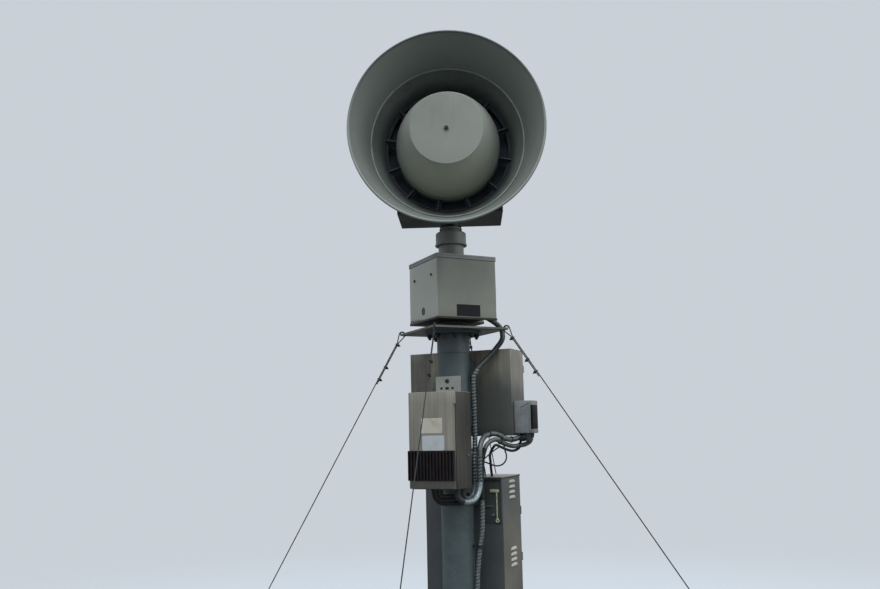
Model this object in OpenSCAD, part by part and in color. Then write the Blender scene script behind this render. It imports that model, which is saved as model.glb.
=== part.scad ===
// Outdoor warning siren on a guyed steel mast, in millimetres.
// The deck is z = 0, the mast stands on the Z axis and the horn faces -Y at rest.

/* [Mast] */
// Outside diameter of the steel pipe
pole_d = 168.3; // [140:0.1:219.1]
// Wall of the pipe
pole_wall = 7.1; // [4:0.1:12]
// Height of the guy plate's top face above the deck
mast_h = 2117.5; // [1900:0.5:2600]
// Diameter of the base flange
base_d = 340; // [300:1:420]
// Thickness of the base flange
base_t = 20; // [12:1:30]
// Distance of the base flange's holes from its edge
base_edge = 27.5; // [20:0.5:45]
// Diameter of the base flange's holes
base_hole_d = 22; // [14:1:26]
// Number of holes in the base flange
base_holes = 8; // [4:4:12]
// Height of the base flange's gussets
gusset_h = 120; // [60:1:180]
// Thickness of the base flange's gussets
gusset_t = 10; // [6:1:16]
// Distance of the gussets from the base flange's edge
gusset_gap = 14; // [8:1:20]

/* [Guy plate] */
// Diameter of the flange on top of the pipe
top_flange_d = 300; // [260:1:340]
// Thickness of the flange on top of the pipe
top_flange_t = 12; // [8:1:20]
// Length of the socket that the flange stands on
socket_h = 100; // [60:1:160]
// Wall of the socket
socket_wall = 3; // [2:0.5:6]
// Side of the square guy plate
plate_side = 436; // [400:1:520]
// Corners taken off the square guy plate
corner_cut = 7.5; // [4:0.5:20]
// Thickness of the guy plate
plate_t = 10; // [6:1:16]
// Distance of the flange bolts from the flange's edge
flange_edge = 25; // [20:1:40]
// Number of flange bolts
flange_bolt_n = 8; // [4:4:12]
// Shank diameter of the flange bolts
flange_bolt_d = 16; // [10:1:20]
// Turn of the guy plate and of the rotator box on the mast
box_yaw = 28; // [0:1:60]

/* [Guys] */
// Diameter of the wire rope
rope_d = 6; // [5:0.5:10]
// Distance of the left guy's anchor from the mast
anchor_left = 1522; // [1200:1:2200]
// Distance of the right guy's anchor from the mast
anchor_right = 1642; // [1200:1:2200]
// Distance of the front guy's anchor from the mast
anchor_front = 1187; // [1000:1:2200]
// Distance of the back guy's anchor from the mast
anchor_back = 1560; // [1200:1:2200]
// Height of the anchor lug's hole above the deck
lug_h = 48; // [40:1:90]
// Side of an anchor plate
anchor_side = 140; // [100:1:200]
// Thickness of an anchor plate
anchor_t = 12; // [8:1:20]
// Thickness of an anchor lug
lug_t = 10; // [8:1:16]
// Diameter of the turnbuckle's pin
pin_d = 12; // [10:1:16]
// Length of a turnbuckle from its eye to its pin
buckle_l = 310; // [260:1:420]
// Radius of a turnbuckle's eye
ring_r = 14; // [12:0.5:18]
// Radius of the wire that the eye is bent from
ring_wire = 4.5; // [4:0.5:6]
// Length of a rope's doubled tail at the guy plate
tail_l = 305; // [290:1:400]
// Length of a rope's doubled tail at the turnbuckle
low_tail_l = 240; // [225:1:320]
// Radius of a rope clip's U-bolt wire
clip_wire = 2; // [2:0.5:4]

/* [Rotator] */
// Side of the square rotator box
box_side = 346; // [300:1:420]
// Height of the rotator box under its lid
box_h = 336; // [280:1:400]
// Gap between the guy plate and the rotator box
foot_h = 40.5; // [30:0.5:60]
// Diameter of the flanges of the stand in that gap
stand_d = 160; // [140:1:240]
// Diameter of the stand between its flanges
stand_body_d = 120; // [100:1:180]
// Thickness of the stand's flanges
stand_t = 10; // [6:1:12]
// Number of bolts in a flange of the stand
stand_bolts = 6; // [4:1:8]
// Height of the folded lip around the box's bottom
lip_h = 12; // [8:1:20]
// Width of the folded lip around the box's bottom
lip_w = 2; // [1:0.5:4]
// Height of the plugged port on the box's left face
port_h = 57; // [50:1:100]
// Radius of the plugged port
port_r = 21; // [12:1:24]
// Height of the two screws on the box's left face
screw_h = 237; // [200:1:260]
// Half the distance between those two screws
screw_side = 104; // [80:1:120]
// Radius of those screws
screw_r = 4; // [3:0.5:6]
// Width of the bare plate on the box's front
plate_w = 137; // [100:1:160]
// Height of the bare plate on the box's front
plate_h = 61; // [40:1:80]
// Distance of the bare plate above the box's bottom
plate_up = 16; // [14:1:40]
// Width of the open notch in the bottom of the box's right side
notch_w = 83; // [70:1:100]
// Height of the notch
notch_h = 56; // [50:1:80]
// Depth of the lid's skirt
lid_skirt = 18; // [12:1:30]
// Thickness of the lid's sheet
lid_t = 4; // [2:0.5:6]
// Diameter of the fixed column on the rotator box
column_d = 137; // [120:1:160]
// Height of the fixed column above the lid
column_h = 112; // [100:1:150]
// Diameter of the spindle on the column
spindle_d = 60; // [45:1:80]
// Length of the spindle
spindle_l = 46; // [30:1:60]

/* [Turning head] */
// Length of the neck under the head housing
neck_l = 65; // [40:1:100]
// Height of the turntable cap
cap_h = 97; // [92:1:120]
// How far the cap hangs over the column
cap_hang = 31; // [20:1:40]
// Diameter of the turntable cap's lip
lip_d = 172; // [165:1:190]
// Diameter of the turntable cap
cap_d = 164; // [158:1:180]
// Diameter of the ring on top of the cap
ring_d = 122; // [112:1:140]
// Diameter of the neck
neck_d = 110; // [90:1:120]
// Width of the head housing
head_w = 564; // [480:1:640]
// Height of the head housing below the horn's axis
head_down = 312; // [300:1:360]
// Height of the head housing above the horn's axis
head_up = 300; // [260:1:360]
// Depth of the head housing in front of the mast's axis
head_front = 100; // [90:1:140]
// Depth of the head housing behind the mast's axis
head_back = 220; // [180:1:280]
// Slope cut on the head housing's upper corners
head_cut = 70; // [20:1:120]
// Height of the air intakes in the housing's sides
intake_h = 400; // [300:1:440]
// Distance of the air intakes' bottom below the horn's axis
intake_down = 230; // [200:1:260]
// Distance of the air intakes from the housing's front and back
intake_in = 60; // [40:1:80]
// Depth of the air intakes
intake_depth = 24; // [18:1:30]
// Width of an intake's blade
blade_w = 26; // [20:1:32]
// Thickness of an intake's blade
blade_t = 4; // [2:0.5:6]
// Radius of the chopper drum
drum_r = 344; // [330:1:370]
// Diameter of the motor cowl
cowl_d = 330; // [260:1:400]
// Straight length of the motor cowl
cowl_l = 290; // [200:1:360]
// Thickness of the rear cover
cover_t = 6; // [4:1:10]
// Distance of the rear cover from the housing's edge
cover_in = 16; // [10:1:24]
// Depth of the motor cowl's domed end
cowl_dome = 60; // [30:1:90]

/* [Horn] */
// Outside radius of the horn's mouth
rim_r = 483; // [440:1:520]
// Radius of the rolled edge of the mouth
rim_bead_r = 9; // [6:0.5:12]
// Distance of the mouth in front of the mast's axis
mouth_y = 553; // [500:1:620]
// Distance of the seam in front of the mast's axis
seam_y = 313; // [280:1:360]
// Inside radius of the horn at the seam
seam_r = 394; // [370:1:420]
// Distance of the throat in front of the mast's axis
throat_y = 172; // [160:1:200]
// Inside radius of the horn's throat
throat_r = 325; // [300:1:345]
// Wall of the horn
horn_wall = 6; // [4:0.5:10]
// Width of the flanges at the seam
seam_flange = 26; // [18:1:36]
// Thickness of one flange
flange_t = 6; // [4:0.5:10]
// Bolts around the seam
seam_bolts = 16; // [8:1:24]
// Largest radius of the bullet
bullet_r = 269; // [240:1:285]
// Distance of the bullet's largest section in front of the axis
bullet_y = 240; // [230:1:320]
// Distance of the bullet's flat front in front of the axis
nose_y = 510; // [480:1:530]
// Radius of the bullet's foot
bullet_foot_r = 268; // [240:1:285]
// Radius of the plain disc on the bullet's front
disc_r = 182; // [150:1:200]
// Thickness of the disc
disc_t = 6; // [3:0.5:10]
// Number of stator vanes
vane_n = 12; // [8:1:16]
// Thickness of a stator vane
vane_t = 4; // [3:0.5:8]
// Length of a stator vane along the horn
vane_l = 26; // [18:1:60]
// Thickness of the throat plate
throat_t = 12; // [8:1:14]
// Width of the throat plate and of the horn's flange on it
throat_flange = 47; // [42:1:60]
// Diameter of the horn's bolts
bolt_d = 8; // [6:1:10]

/* [Cabinets] */
// Turn of the cabinets on the mast
cab_yaw = -23; // [-45:1:0]
// Depth of the brackets behind the pipe
stand_off = 41; // [30:1:60]
// Depth of the blocks in front of the pipe
block_t = 17; // [12:1:30]
// Thickness of the mounting plate in front of the pipe
back_plate_t = 4; // [3:0.5:6]
// Left edge of the rear cabinet
rear_l = -324; // [-380:1:-260]
// Right edge of the rear cabinet
rear_r = 276; // [220:1:320]
// Depth of the rear cabinet
rear_depth = 199; // [150:1:260]
// Distance of the rear cabinet's top below the guy plate's top face
rear_drop = 100.5; // [80:0.5:200]
// Height of the rear cabinet
rear_h = 462; // [400:1:500]
// Left edge of the front cabinet
front_l = -118; // [-150:1:-100]
// Right edge of the front cabinet
front_r = 133; // [120:1:160]
// Depth of the front cabinet
front_depth = 205; // [160:1:240]
// Distance of the front cabinet's top below the guy plate's top face
front_drop = 336.5; // [320:0.5:420]
// Height of the front cabinet
front_h = 478; // [440:1:500]
// Left edge of the lower cabinet
low_l = -244; // [-280:1:-200]
// Right edge of the lower cabinet
low_r = 205; // [190:1:250]
// Depth of the lower cabinet
low_depth = 280; // [200:1:300]
// Distance of the lower cabinet's top below the guy plate's top face
low_drop = 778.5; // [765:0.5:860]
// Height of the lower cabinet
low_h = 939; // [800:1:960]
// Thickness of the doors of the rear and lower cabinets
door_t = 18; // [12:1:24]
// Height of a saddle bracket behind the pipe
saddle_h = 80; // [60:1:100]
// Width of a saddle bracket
saddle_w = 150; // [130:1:160]
// Distance of the saddle brackets from a cabinet's top and bottom
saddle_in = 60; // [40:1:90]
// Number of the heat sink's fins
fin_n = 15; // [9:1:21]
// Thickness of a fin
fin_t = 3; // [2:0.5:5]
// Depth of the fins
fin_depth = 12; // [8:1:40]
// Bottom of the heat sink above the front cabinet's bottom
sink_z = 44; // [30:1:80]
// Height of the heat sink
sink_h = 146; // [100:1:200]
// Depth of the front cabinet's lid
front_lid = 22; // [14:1:30]
// How far the mounting plate shows above the front cabinet
mount_up = 88; // [70:1:120]
// Radius of the mounting plate's hole
mount_hole_r = 13; // [8:1:16]

/* [Junction box and conduits] */
// Depth of the junction box
junction_depth = 90; // [70:1:110]
// Depth of the junction box's lid
junction_lid = 14; // [10:1:20]
// Width of the junction box
junction_w = 85; // [70:1:120]
// Height of the junction box
junction_h = 172; // [150:1:220]
// Bottom of the junction box above the rear cabinet's bottom
junction_up = 11; // [0:1:60]
// Distance of the junction box from the rear cabinet's near face
junction_in = 25; // [15:1:60]
// Diameter of the conduits
conduit_d = 28; // [25:0.5:40]
// Diameter of the battery cables
cable_d = 18; // [12:0.5:22]
// Diameter of the thin control cable
wire_d = 8; // [5:0.5:12]
// Diameter of the thick control cable
supply_d = 14; // [10:0.5:18]

/* [Hidden] */
$fn = 96;
eps = 0.01;
fit = 0.3;

pole_r = pole_d / 2;
plate_z = mast_h - plate_t;
pole_top = plate_z - top_flange_t;
gap_turn = 5;
base_pcd = base_d - 2 * base_edge;
flange_pcd = top_flange_d - 2 * flange_edge;

// The horn turns on the spindle, the cap hangs over the column
box_z = mast_h + foot_h;
lid_side = box_side + 6;
lid_top = box_z + box_h + lid_t;
column_top = lid_top + column_h;
port_depth = 6;
notch_wall = 5;
notch_end = -30;
screw_depth = 2 * screw_r;
cap_base = column_top - cap_hang;
cap_inner_r = column_d / 2 + gap_turn;
neck_z = cap_base + cap_h;
head_z = neck_z + neck_l;
horn_z = head_z + head_down;
intake_l = head_back + head_front - 2 * intake_in;

// One guy: a round eye at the plate's corner, a straight rope and a turnbuckle
rope_r = rope_d / 2;
corner_r = (plate_side - corner_cut) / sqrt(2);
tongue = 9;
eye_hole_r = 9;
eye_c = corner_r - tongue;
eye_in = norm([tongue + 1.2, plate_t / 2]) + 0.4;
liner_t = 2;
eye_r = eye_in + liner_t + fit + rope_r;
pair_off = rope_r + fit;
first_clip = 60;
upper_clips = [first_clip, 200, 275];
lower_clips = [first_clip, 135, 210];
guy_az = [box_yaw + 135, box_yaw - 45, box_yaw + 225, box_yaw + 45];
guy_anchor = [anchor_left, anchor_right, anchor_front, anchor_back];
eye_z = plate_z + plate_t / 2;

function guy_len(i) = norm([guy_anchor[i] - eye_c, eye_z - lug_h]);
function guy_dip(i) = atan2(eye_z - lug_h, guy_anchor[i] - eye_c);
function low_eye(i) = guy_len(i) - buckle_l - ring_r - (eye_in - fit - 0.8 - ring_wire);

bend_at = first_clip - 12;
eye_phi = asin(eye_r / norm([bend_at, pair_off])) - atan(pair_off / bend_at);

// Horn curves, radius against distance in front of the mast's axis
function blend(a, b, t) = a + (b - a) * t;
function front_inner(t) = blend(seam_r, rim_r - rim_bead_r, 0.86 * t + 0.14 * t * t);
function rear_inner(t) = blend(throat_r, seam_r, 1.1 * t - 0.1 * t * t);
nose_bulge = 1.62;
function nose_rad(t) = bullet_r - (bullet_r - disc_r) * pow(t, nose_bulge);
function foot_rad(t) = blend(bullet_foot_r, bullet_r, sin(90 * t));
steps = 14;
first_vane = 19;
port_edge = 8;
bolt_in = 12;
throat_bolt_r = throat_r + throat_flange - bolt_in - 2;
seam_bolt_r = seam_r + horn_wall + seam_flange - bolt_in;

// Cabinet frame: x along the cabinets, y from the front cabinet to the rear one
near_y = pole_r + fit + stand_off;
back_y = -pole_r - fit - block_t - back_plate_t;
front_y = back_y - front_depth;
front_top = mast_h - front_drop;
front_z = front_top - front_h;
rear_top = mast_h - rear_drop;
rear_z = rear_top - rear_h;
low_top = mast_h - low_drop;
low_z = low_top - low_h;
junction_z = rear_z + junction_up;
junction_y = near_y + junction_in;

door_in = 8;
latch_in = 110;
bay_r = low_r - 10;
bay_w = 112;
bay_h = 232;
bay_depth = 14;
bay_top = low_top - 14;
window_t = 4;
window_in = 10;
window_low = 26;
window_high = 22;

// Swept round conduits along smooth routes
function unit(v) = v / norm(v);
function spline(a, b, c, d, t) = 0.5 * (2 * b + (c - a) * t
    + (2 * a - 5 * b + 4 * c - d) * t * t + (3 * b - a - 3 * c + d) * t * t * t);
function smooth(p, k) = [for (i = [0:len(p) - 2]) for (j = [0:k - 1])
    spline(p[max(i - 1, 0)], p[i], p[i + 1], p[min(i + 2, len(p) - 1)], j / k), p[len(p) - 1]];
function tangent(p, i) = unit(p[min(i + 1, len(p) - 1)] - p[max(i - 1, 0)]);
function carried(u, t) = unit(u - t * (u * t));
function frames(p, i, u) = i == len(p) ? []
    : let (v = carried(u, tangent(p, i))) concat([v], frames(p, i + 1, v));
sides = 10;

module tube(route, d, k = 4) {
    sweep(smooth(route, k), d);
}

module sweep(p, d) {
    n = len(p);
    u = frames(p, 0, abs(tangent(p, 0)[2]) > 0.9 ? [1, 0, 0] : [0, 0, 1]);
    pts = [for (i = [0:n - 1]) for (s = [0:sides - 1])
        p[i] + d / 2 * (cos(360 * s / sides) * u[i] + sin(360 * s / sides) * cross(tangent(p, i), u[i]))];
    walls = [for (i = [0:n - 2]) for (s = [0:sides - 1])
        [i * sides + s, i * sides + (s + 1) % sides, (i + 1) * sides + (s + 1) % sides, (i + 1) * sides + s]];
    ends = [[for (s = [sides - 1:-1:0]) s], [for (s = [0:sides - 1]) (n - 1) * sides + s]];
    polyhedron(pts, concat(walls, ends), 4);
}

// Straight start of a route at p along v, and the same at its end
lead = 8;
function start(p, v) = [p, p + lead * v, p + 2 * lead * v, p + 3 * lead * v];
function end(p, v) = [p - 3 * lead * v, p - 2 * lead * v, p - lead * v, p];
down = [0, 0, -1];

// Routes in the cabinet frame
drop_x = pole_r + conduit_d / 2 + 12;
bundle_x = drop_x + 12;
link_x = bundle_x + conduit_d + 7;
thin_d = conduit_d - 4;
port_dir = [cos(box_yaw - cab_yaw), sin(box_yaw - cab_yaw), 0];
// A point of the box's frame, x and y about the mast and z above the box's bottom
function by_box(x, y, z) = [port_dir[0] * x - port_dir[1] * y, port_dir[1] * x + port_dir[0] * y, box_z + z];
half = box_side / 2;
port = by_box(half - notch_w, 65 - half, notch_h / 2);
entry_y1 = back_y - 46;
entry_y2 = back_y - 112;
entry_x = front_r - 34;
rotator_route = concat(start(port, port_dir), [
    by_box(half - 30, 65 - half, 24),
    by_box(half - 3, 67 - half, 13),
    by_box(half + 24, 69 - half, -1),
    by_box(half + 48, 70 - half, -17),
    by_box(half + 64, 70 - half, -37),
    by_box(half + 70, 68 - half, -58),
    [drop_x + 126, near_y - 8, box_z - 84],
    [drop_x + 117, near_y - 15, box_z - 108],
    [drop_x + 96, near_y - 24, box_z - 136],
    [drop_x + 72, near_y - 44, box_z - 173],
    [drop_x + 44, near_y - 70, box_z - 208],
    [drop_x + 22, 28, box_z - 238],
    [drop_x + 10, 10, box_z - 268],
    [drop_x, 0, box_z - 308],
    [drop_x, 0, front_top - 81],
    [drop_x, 0, front_top - 221],
    [drop_x + 6, -20, front_top - 291],
    [bundle_x, -44, front_top - 361],
    [bundle_x, -48, front_z + 12],
    [bundle_x - 1, -52, front_z - 14],
    [bundle_x - 5, -65, front_z - 41],
    [bundle_x - 11, -90, front_z - 58],
    [entry_x + 6, entry_y1 + 31, front_z - 59],
    [entry_x + 1, entry_y1 + 8, front_z - 43],
], end([entry_x, entry_y1, front_z], -down));
elbow_x = rear_r + 46;
elbow_y = junction_y + 22;
elbow_z = junction_z - 22;
link_route = concat(start([elbow_x, elbow_y, elbow_z], [-1, 0, 0]), [
    [elbow_x - 40, elbow_y - 7, elbow_z - 4],
    [elbow_x - 60, elbow_y - 32, elbow_z - 9],
    [link_x + 80, near_y - 20, rear_z - 14],
    [link_x + 62, near_y - 36, rear_z + 1],
    [link_x + 42, 70, rear_z + 11],
    [link_x + 20, 44, rear_z + 11],
    [link_x + 6, 12, rear_z + 1],
    [link_x, -18, rear_z - 19],
    [link_x - 1, -41, rear_z - 48],
    [link_x, -54, rear_z - 88],
    [link_x, -60, front_z + 97],
    [link_x, -62, front_z + 16],
    [link_x - 2, -69, front_z - 17],
    [link_x - 8, -89, front_z - 49],
    [link_x - 19, -123, front_z - 68],
    [entry_x + 21, entry_y2 + 52, front_z - 70],
    [entry_x + 7, entry_y2 + 20, front_z - 55],
    [entry_x + 1, entry_y2 + 4, front_z - 38],
], end([entry_x, entry_y2, front_z], -down));
clip_z = low_top - 350;
clip_x = drop_x + 14;
exit_x = rear_r + 70;
exit_y = junction_y + 63;
base_route = concat(start([exit_x, exit_y, junction_z], down), [
    [exit_x - 6, exit_y - 3, junction_z - 42],
    [exit_x - 26, exit_y - 15, junction_z - 57],
    [exit_x - 54, exit_y - 38, junction_z - 64],
    [exit_x - 82, exit_y - 68, rear_z - 55],
    [exit_x - 105, near_y - 20, rear_z - 44],
    [drop_x + 113, near_y - 50, rear_z - 30],
    [drop_x + 98, 50, rear_z - 18],
    [drop_x + 80, 25, rear_z - 25],
    [drop_x + 63, 2, rear_z - 46],
    [drop_x + 53, -9, rear_z - 80],
    [drop_x + 45, -14, rear_z - 121],
    [drop_x + 39, -14, low_top + 1],
    [drop_x + 36, -10, low_top - 99],
    [drop_x + 34, -6, low_top - 174],
    [drop_x + 28, -3, low_top - 268],
    [clip_x, 0, clip_z + 7],
    [drop_x + 2, 0, low_top - 431],
    [drop_x - 6, 0, low_top - 530],
    [drop_x - 8, 0, low_z + 200],
    [drop_x - 8, 0, gusset_h + 140],
    [base_d / 2 + 12, 0, gusset_h],
    [base_d / 2 + 24, 0, gusset_h / 2],
], end([base_d / 2 + 26, 0, 0], down));

// Every piece by name

module at_box(z = 0) {
    translate([0, 0, z]) rotate([0, 0, box_yaw]) children();
}

module at_cab() {
    rotate([0, 0, cab_yaw]) children();
}

// Places a piece that is drawn around Z on the horn's axis, with +Z pointing out of the mouth
module at_horn(y = 0) {
    translate([0, -y, horn_z]) rotate([90, 0, 0]) children();
}

module slab(x0, x1, y0, y1, z0, z1) {
    translate([x0, y0, z0]) cube([x1 - x0, y1 - y0, z1 - z0]);
}

module rod_x(s0, s1, r) {
    translate([s0, 0, 0]) rotate([0, 90, 0]) cylinder(h = s1 - s0, r = r);
}

module hex_nut(across, t) {
    cylinder(h = t, d = across / cos(30), $fn = 6);
}

// Mast
module base_flange() {
    gusset_w = base_d / 2 - pole_r - gusset_gap;
    color("#4a5458") difference() {
        union() {
            cylinder(h = base_t, d = base_d);
            for (i = [0:base_holes - 1]) rotate([0, 0, 360 / base_holes * (i + 0.5)])
                translate([pole_r - eps, gusset_t / 2, base_t - eps]) rotate([90, 0, 0])
                    linear_extrude(gusset_t) polygon([[0, 0], [gusset_w, 0],
                        [gusset_w, gusset_t], [gusset_t, gusset_h], [0, gusset_h]]);
        }
        for (i = [0:base_holes - 1]) rotate([0, 0, 360 / base_holes * i])
            translate([base_pcd / 2, 0, -1]) cylinder(h = base_t + 2, d = base_hole_d);
        translate([0, 0, base_t]) cylinder(h = gusset_h + 1, r = pole_r);
    }
}

module pole() {
    color("#46545a") translate([0, 0, base_t]) difference() {
        cylinder(h = pole_top - base_t, r = pole_r);
        translate([0, 0, -1]) cylinder(h = pole_top - base_t + 2, r = pole_r - pole_wall);
    }
}

module top_flange() {
    color("#3c4447") difference() {
        union() {
            translate([0, 0, pole_top]) cylinder(h = top_flange_t, d = top_flange_d);
            translate([0, 0, pole_top - socket_h])
                cylinder(h = socket_h + eps, r = pole_r + fit + socket_wall);
        }
        translate([0, 0, pole_top - socket_h - 1]) cylinder(h = socket_h + 1, r = pole_r + fit);
        for (i = [0:flange_bolt_n - 1]) rotate([0, 0, box_yaw + 360 / flange_bolt_n * (i + 0.5)])
            translate([flange_pcd / 2, 0, pole_top - 1])
                cylinder(h = top_flange_t + 2, d = flange_bolt_d + 2);
    }
}

module guy_plate() {
    h = plate_side / 2;
    c = h - corner_cut;
    color("#6b706c") at_box(plate_z) difference() {
        linear_extrude(plate_t)
            polygon([[h, -c], [h, c], [c, h], [-c, h], [-h, c], [-h, -c], [-c, -h], [c, -h]]);
        for (a = [45:90:315]) rotate([0, 0, a])
            translate([eye_c - tongue - eye_hole_r, 0, -1]) cylinder(h = plate_t + 2, r = eye_hole_r);
        for (i = [0:flange_bolt_n - 1]) rotate([0, 0, 360 / flange_bolt_n * (i + 0.5)])
            translate([flange_pcd / 2, 0, -1]) cylinder(h = plate_t + 2, d = flange_bolt_d + 2);
    }
}

module flange_bolts() {
    across = 1.5 * flange_bolt_d;
    head = 10;
    washer = 3;
    nut = 13;
    out = 26;
    color("#2e3234") at_box() for (i = [0:flange_bolt_n - 1]) rotate([0, 0, 360 / flange_bolt_n * (i + 0.5)])
        translate([flange_pcd / 2, 0, 0]) {
            translate([0, 0, pole_top - out])
                cylinder(h = out + top_flange_t + plate_t + 1, d = flange_bolt_d);
            translate([0, 0, mast_h]) hex_nut(across, head);
            translate([0, 0, pole_top - washer]) cylinder(h = washer, d = 1.25 * across);
            translate([0, 0, pole_top - washer - nut]) hex_nut(across, nut + eps);
        }
}

// Guys: each is drawn along X from the eye at the plate's corner down to the anchor's pin
module at_guy(i) {
    rotate([0, 0, guy_az[i]]) translate([eye_c, 0, eye_z]) rotate([0, guy_dip(i), 0]) children();
}

// A rope's end: its cut tail, the round eye and the start of the long run
function rope_eye(tail) = concat([[tail, 0, -pair_off], [bend_at, 0, -pair_off]],
    [for (j = [0:18]) let (a = 270 + eye_phi - (180 + 2 * eye_phi) * j / 18)
        [eye_r * cos(a), 0, eye_r * sin(a)]],
    [[bend_at, 0, pair_off]]);
function turned(p, x) = [for (j = [len(p) - 1:-1:0]) [x - p[j][0], 0, p[j][2]]];

module guy_ropes() {
    color("#33393b") for (i = [0:3]) at_guy(i)
        sweep(concat(rope_eye(tail_l), turned(rope_eye(low_tail_l), low_eye(i))), rope_d);
}

module thimble() {
    rotate([90, 0, 0]) rotate([0, 0, 90 - eye_phi]) rotate_extrude(angle = 180 + 2 * eye_phi)
        translate([eye_in, -4.5]) square([liner_t, 9]);
}

module rope_thimbles() {
    color("#8b9090") for (i = [0:3]) at_guy(i) {
        thimble();
        translate([low_eye(i), 0, 0]) mirror([1, 0, 0]) thimble();
    }
}

// A clip's U-bolt holds both ropes against its saddle
module rope_clip() {
    u = rope_r + fit + clip_wire;
    foot = -pair_off - rope_r - fit;
    leg = 14;
    nut = 4;
    saddle = 5;
    across = 7;
    translate([0, 0, pair_off]) rotate([0, -90, 0]) rotate([0, 0, -90]) rotate_extrude(angle = 180)
        translate([u, 0]) circle(r = clip_wire, $fn = 20);
    for (m = [-1, 1]) translate([0, m * u, foot - leg]) {
        cylinder(h = leg - foot + pair_off, r = clip_wire, $fn = 20);
        translate([0, 0, leg - saddle - nut]) hex_nut(across, nut);
    }
    translate([-across, -u - nut, foot - saddle]) cube([2 * across, 2 * (u + nut), saddle]);
}

module rope_clips() {
    color("#3b4143") for (i = [0:3]) at_guy(i) {
        for (s = upper_clips) translate([s, 0, 0]) rope_clip();
        for (s = lower_clips) translate([low_eye(i) - s, 0, 0]) rope_clip();
    }
}

module turnbuckle() {
    rod_r = pin_d / 2;
    boss_r = pin_d;
    boss = 20;
    body_0 = 60;
    body_1 = buckle_l - 90;
    jaw_t = 6;
    jaw_r = 10;
    jaw_0 = buckle_l - 34;
    pin_l = lug_t + 26;
    // The eye takes the rope's thimble
    rotate_extrude() translate([ring_r, 0]) circle(r = ring_wire, $fn = 20);
    rod_x(ring_r, body_0 + boss + 4, rod_r);
    rod_x(body_0, body_0 + boss, boss_r);
    rod_x(body_1 - boss, body_1, boss_r);
    for (m = [-1, 1]) translate([0, m * (boss_r + 1), 0]) rod_x(body_0, body_1, ring_wire, $fn = 24);
    rod_x(body_1 - boss - 4, jaw_0 + 4, rod_r);
    translate([jaw_0, -lug_t / 2 - fit - jaw_t, -jaw_r]) cube([16, lug_t + 2 * (fit + jaw_t), 2 * jaw_r]);
    for (m = [-1, 1]) translate([0, m * (lug_t / 2 + fit + jaw_t / 2), 0]) {
        translate([jaw_0, -jaw_t / 2, -jaw_r]) cube([buckle_l - jaw_0, jaw_t, 2 * jaw_r]);
        translate([buckle_l, jaw_t / 2, 0]) rotate([90, 0, 0]) cylinder(h = jaw_t, r = jaw_r);
    }
    translate([buckle_l, pin_l / 2, 0]) rotate([90, 0, 0]) cylinder(h = pin_l, d = pin_d);
}

module turnbuckles() {
    color("#6d7374") for (i = [0:3]) at_guy(i) translate([guy_len(i) - buckle_l, 0, 0]) turnbuckle();
}

module guy_anchors() {
    a = anchor_side / 2;
    in = 20;
    lug_r = 15;
    lug_w = 34;
    lug_up = lug_h - anchor_t + 4;
    color("#596063") for (i = [0:3]) rotate([0, 0, guy_az[i]]) translate([guy_anchor[i], 0, 0]) difference() {
        union() {
            translate([-a, -a, 0]) cube([anchor_side, anchor_side, anchor_t]);
            translate([0, lug_t / 2, anchor_t - eps]) rotate([90, 0, 0]) linear_extrude(lug_t)
                polygon([[-lug_w, 0], [lug_w, 0], [lug_r - 1, lug_up], [1 - lug_r, lug_up]]);
            translate([0, lug_t / 2, lug_h]) rotate([90, 0, 0]) cylinder(h = lug_t, r = lug_r);
        }
        translate([0, lug_t, lug_h]) rotate([90, 0, 0]) cylinder(h = 2 * lug_t, d = pin_d + 2 * fit);
        for (x = [in - a, a - in]) for (y = [in - a, a - in]) translate([x, y, -1])
            cylinder(h = anchor_t + 2, d = 14);
    }
}

// Rotator
module rotator_stand() {
    bolt_r = stand_d / 2 - 9;
    head = 5;
    color("#5a6061") at_box(mast_h) difference() {
        union() {
            cylinder(h = stand_t, d = stand_d);
            cylinder(h = foot_h, d = stand_body_d);
            translate([0, 0, foot_h - stand_t]) cylinder(h = stand_t, d = stand_d);
            for (k = [0:stand_bolts - 1]) rotate([0, 0, 360 / stand_bolts * k])
                translate([bolt_r, 0, stand_t - eps]) hex_nut(13, head);
        }
        translate([0, 0, -1]) cylinder(h = foot_h + 2, d = stand_body_d - 2 * stand_t);
    }
}

module rotator_housing() {
    h = box_side / 2;
    color("#7b827d") at_box(box_z) difference() {
        union() {
            slab(-h, h, -h, h, 0, box_h);
            slab(-h - lip_w, h + lip_w, -h - lip_w, h + lip_w, 0, lip_h);
        }
        // Open notch behind the front sheet, where the conduit leaves
        slab(h - notch_w, h + lip_w + 1, notch_wall - h, notch_end, -1, notch_h);
        // Port on the left face, closed by a plug
        translate([-h - 1, 0, port_h]) rotate([0, 90, 0]) cylinder(h = port_depth + 1, r = port_r);
        for (y = [-screw_side, screw_side]) translate([-h - 1, y, screw_h]) rotate([0, 90, 0])
            cylinder(h = screw_depth + 1, r = screw_r);
    }
}

module rotator_lid() {
    h = lid_side / 2;
    i = box_side / 2 + fit;
    color("#7a7f80") at_box(box_z + box_h) difference() {
        slab(-h, h, -h, h, -lid_skirt, lid_t);
        slab(-i, i, -i, i, -lid_skirt - 1, 2 * eps);
    }
}

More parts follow.
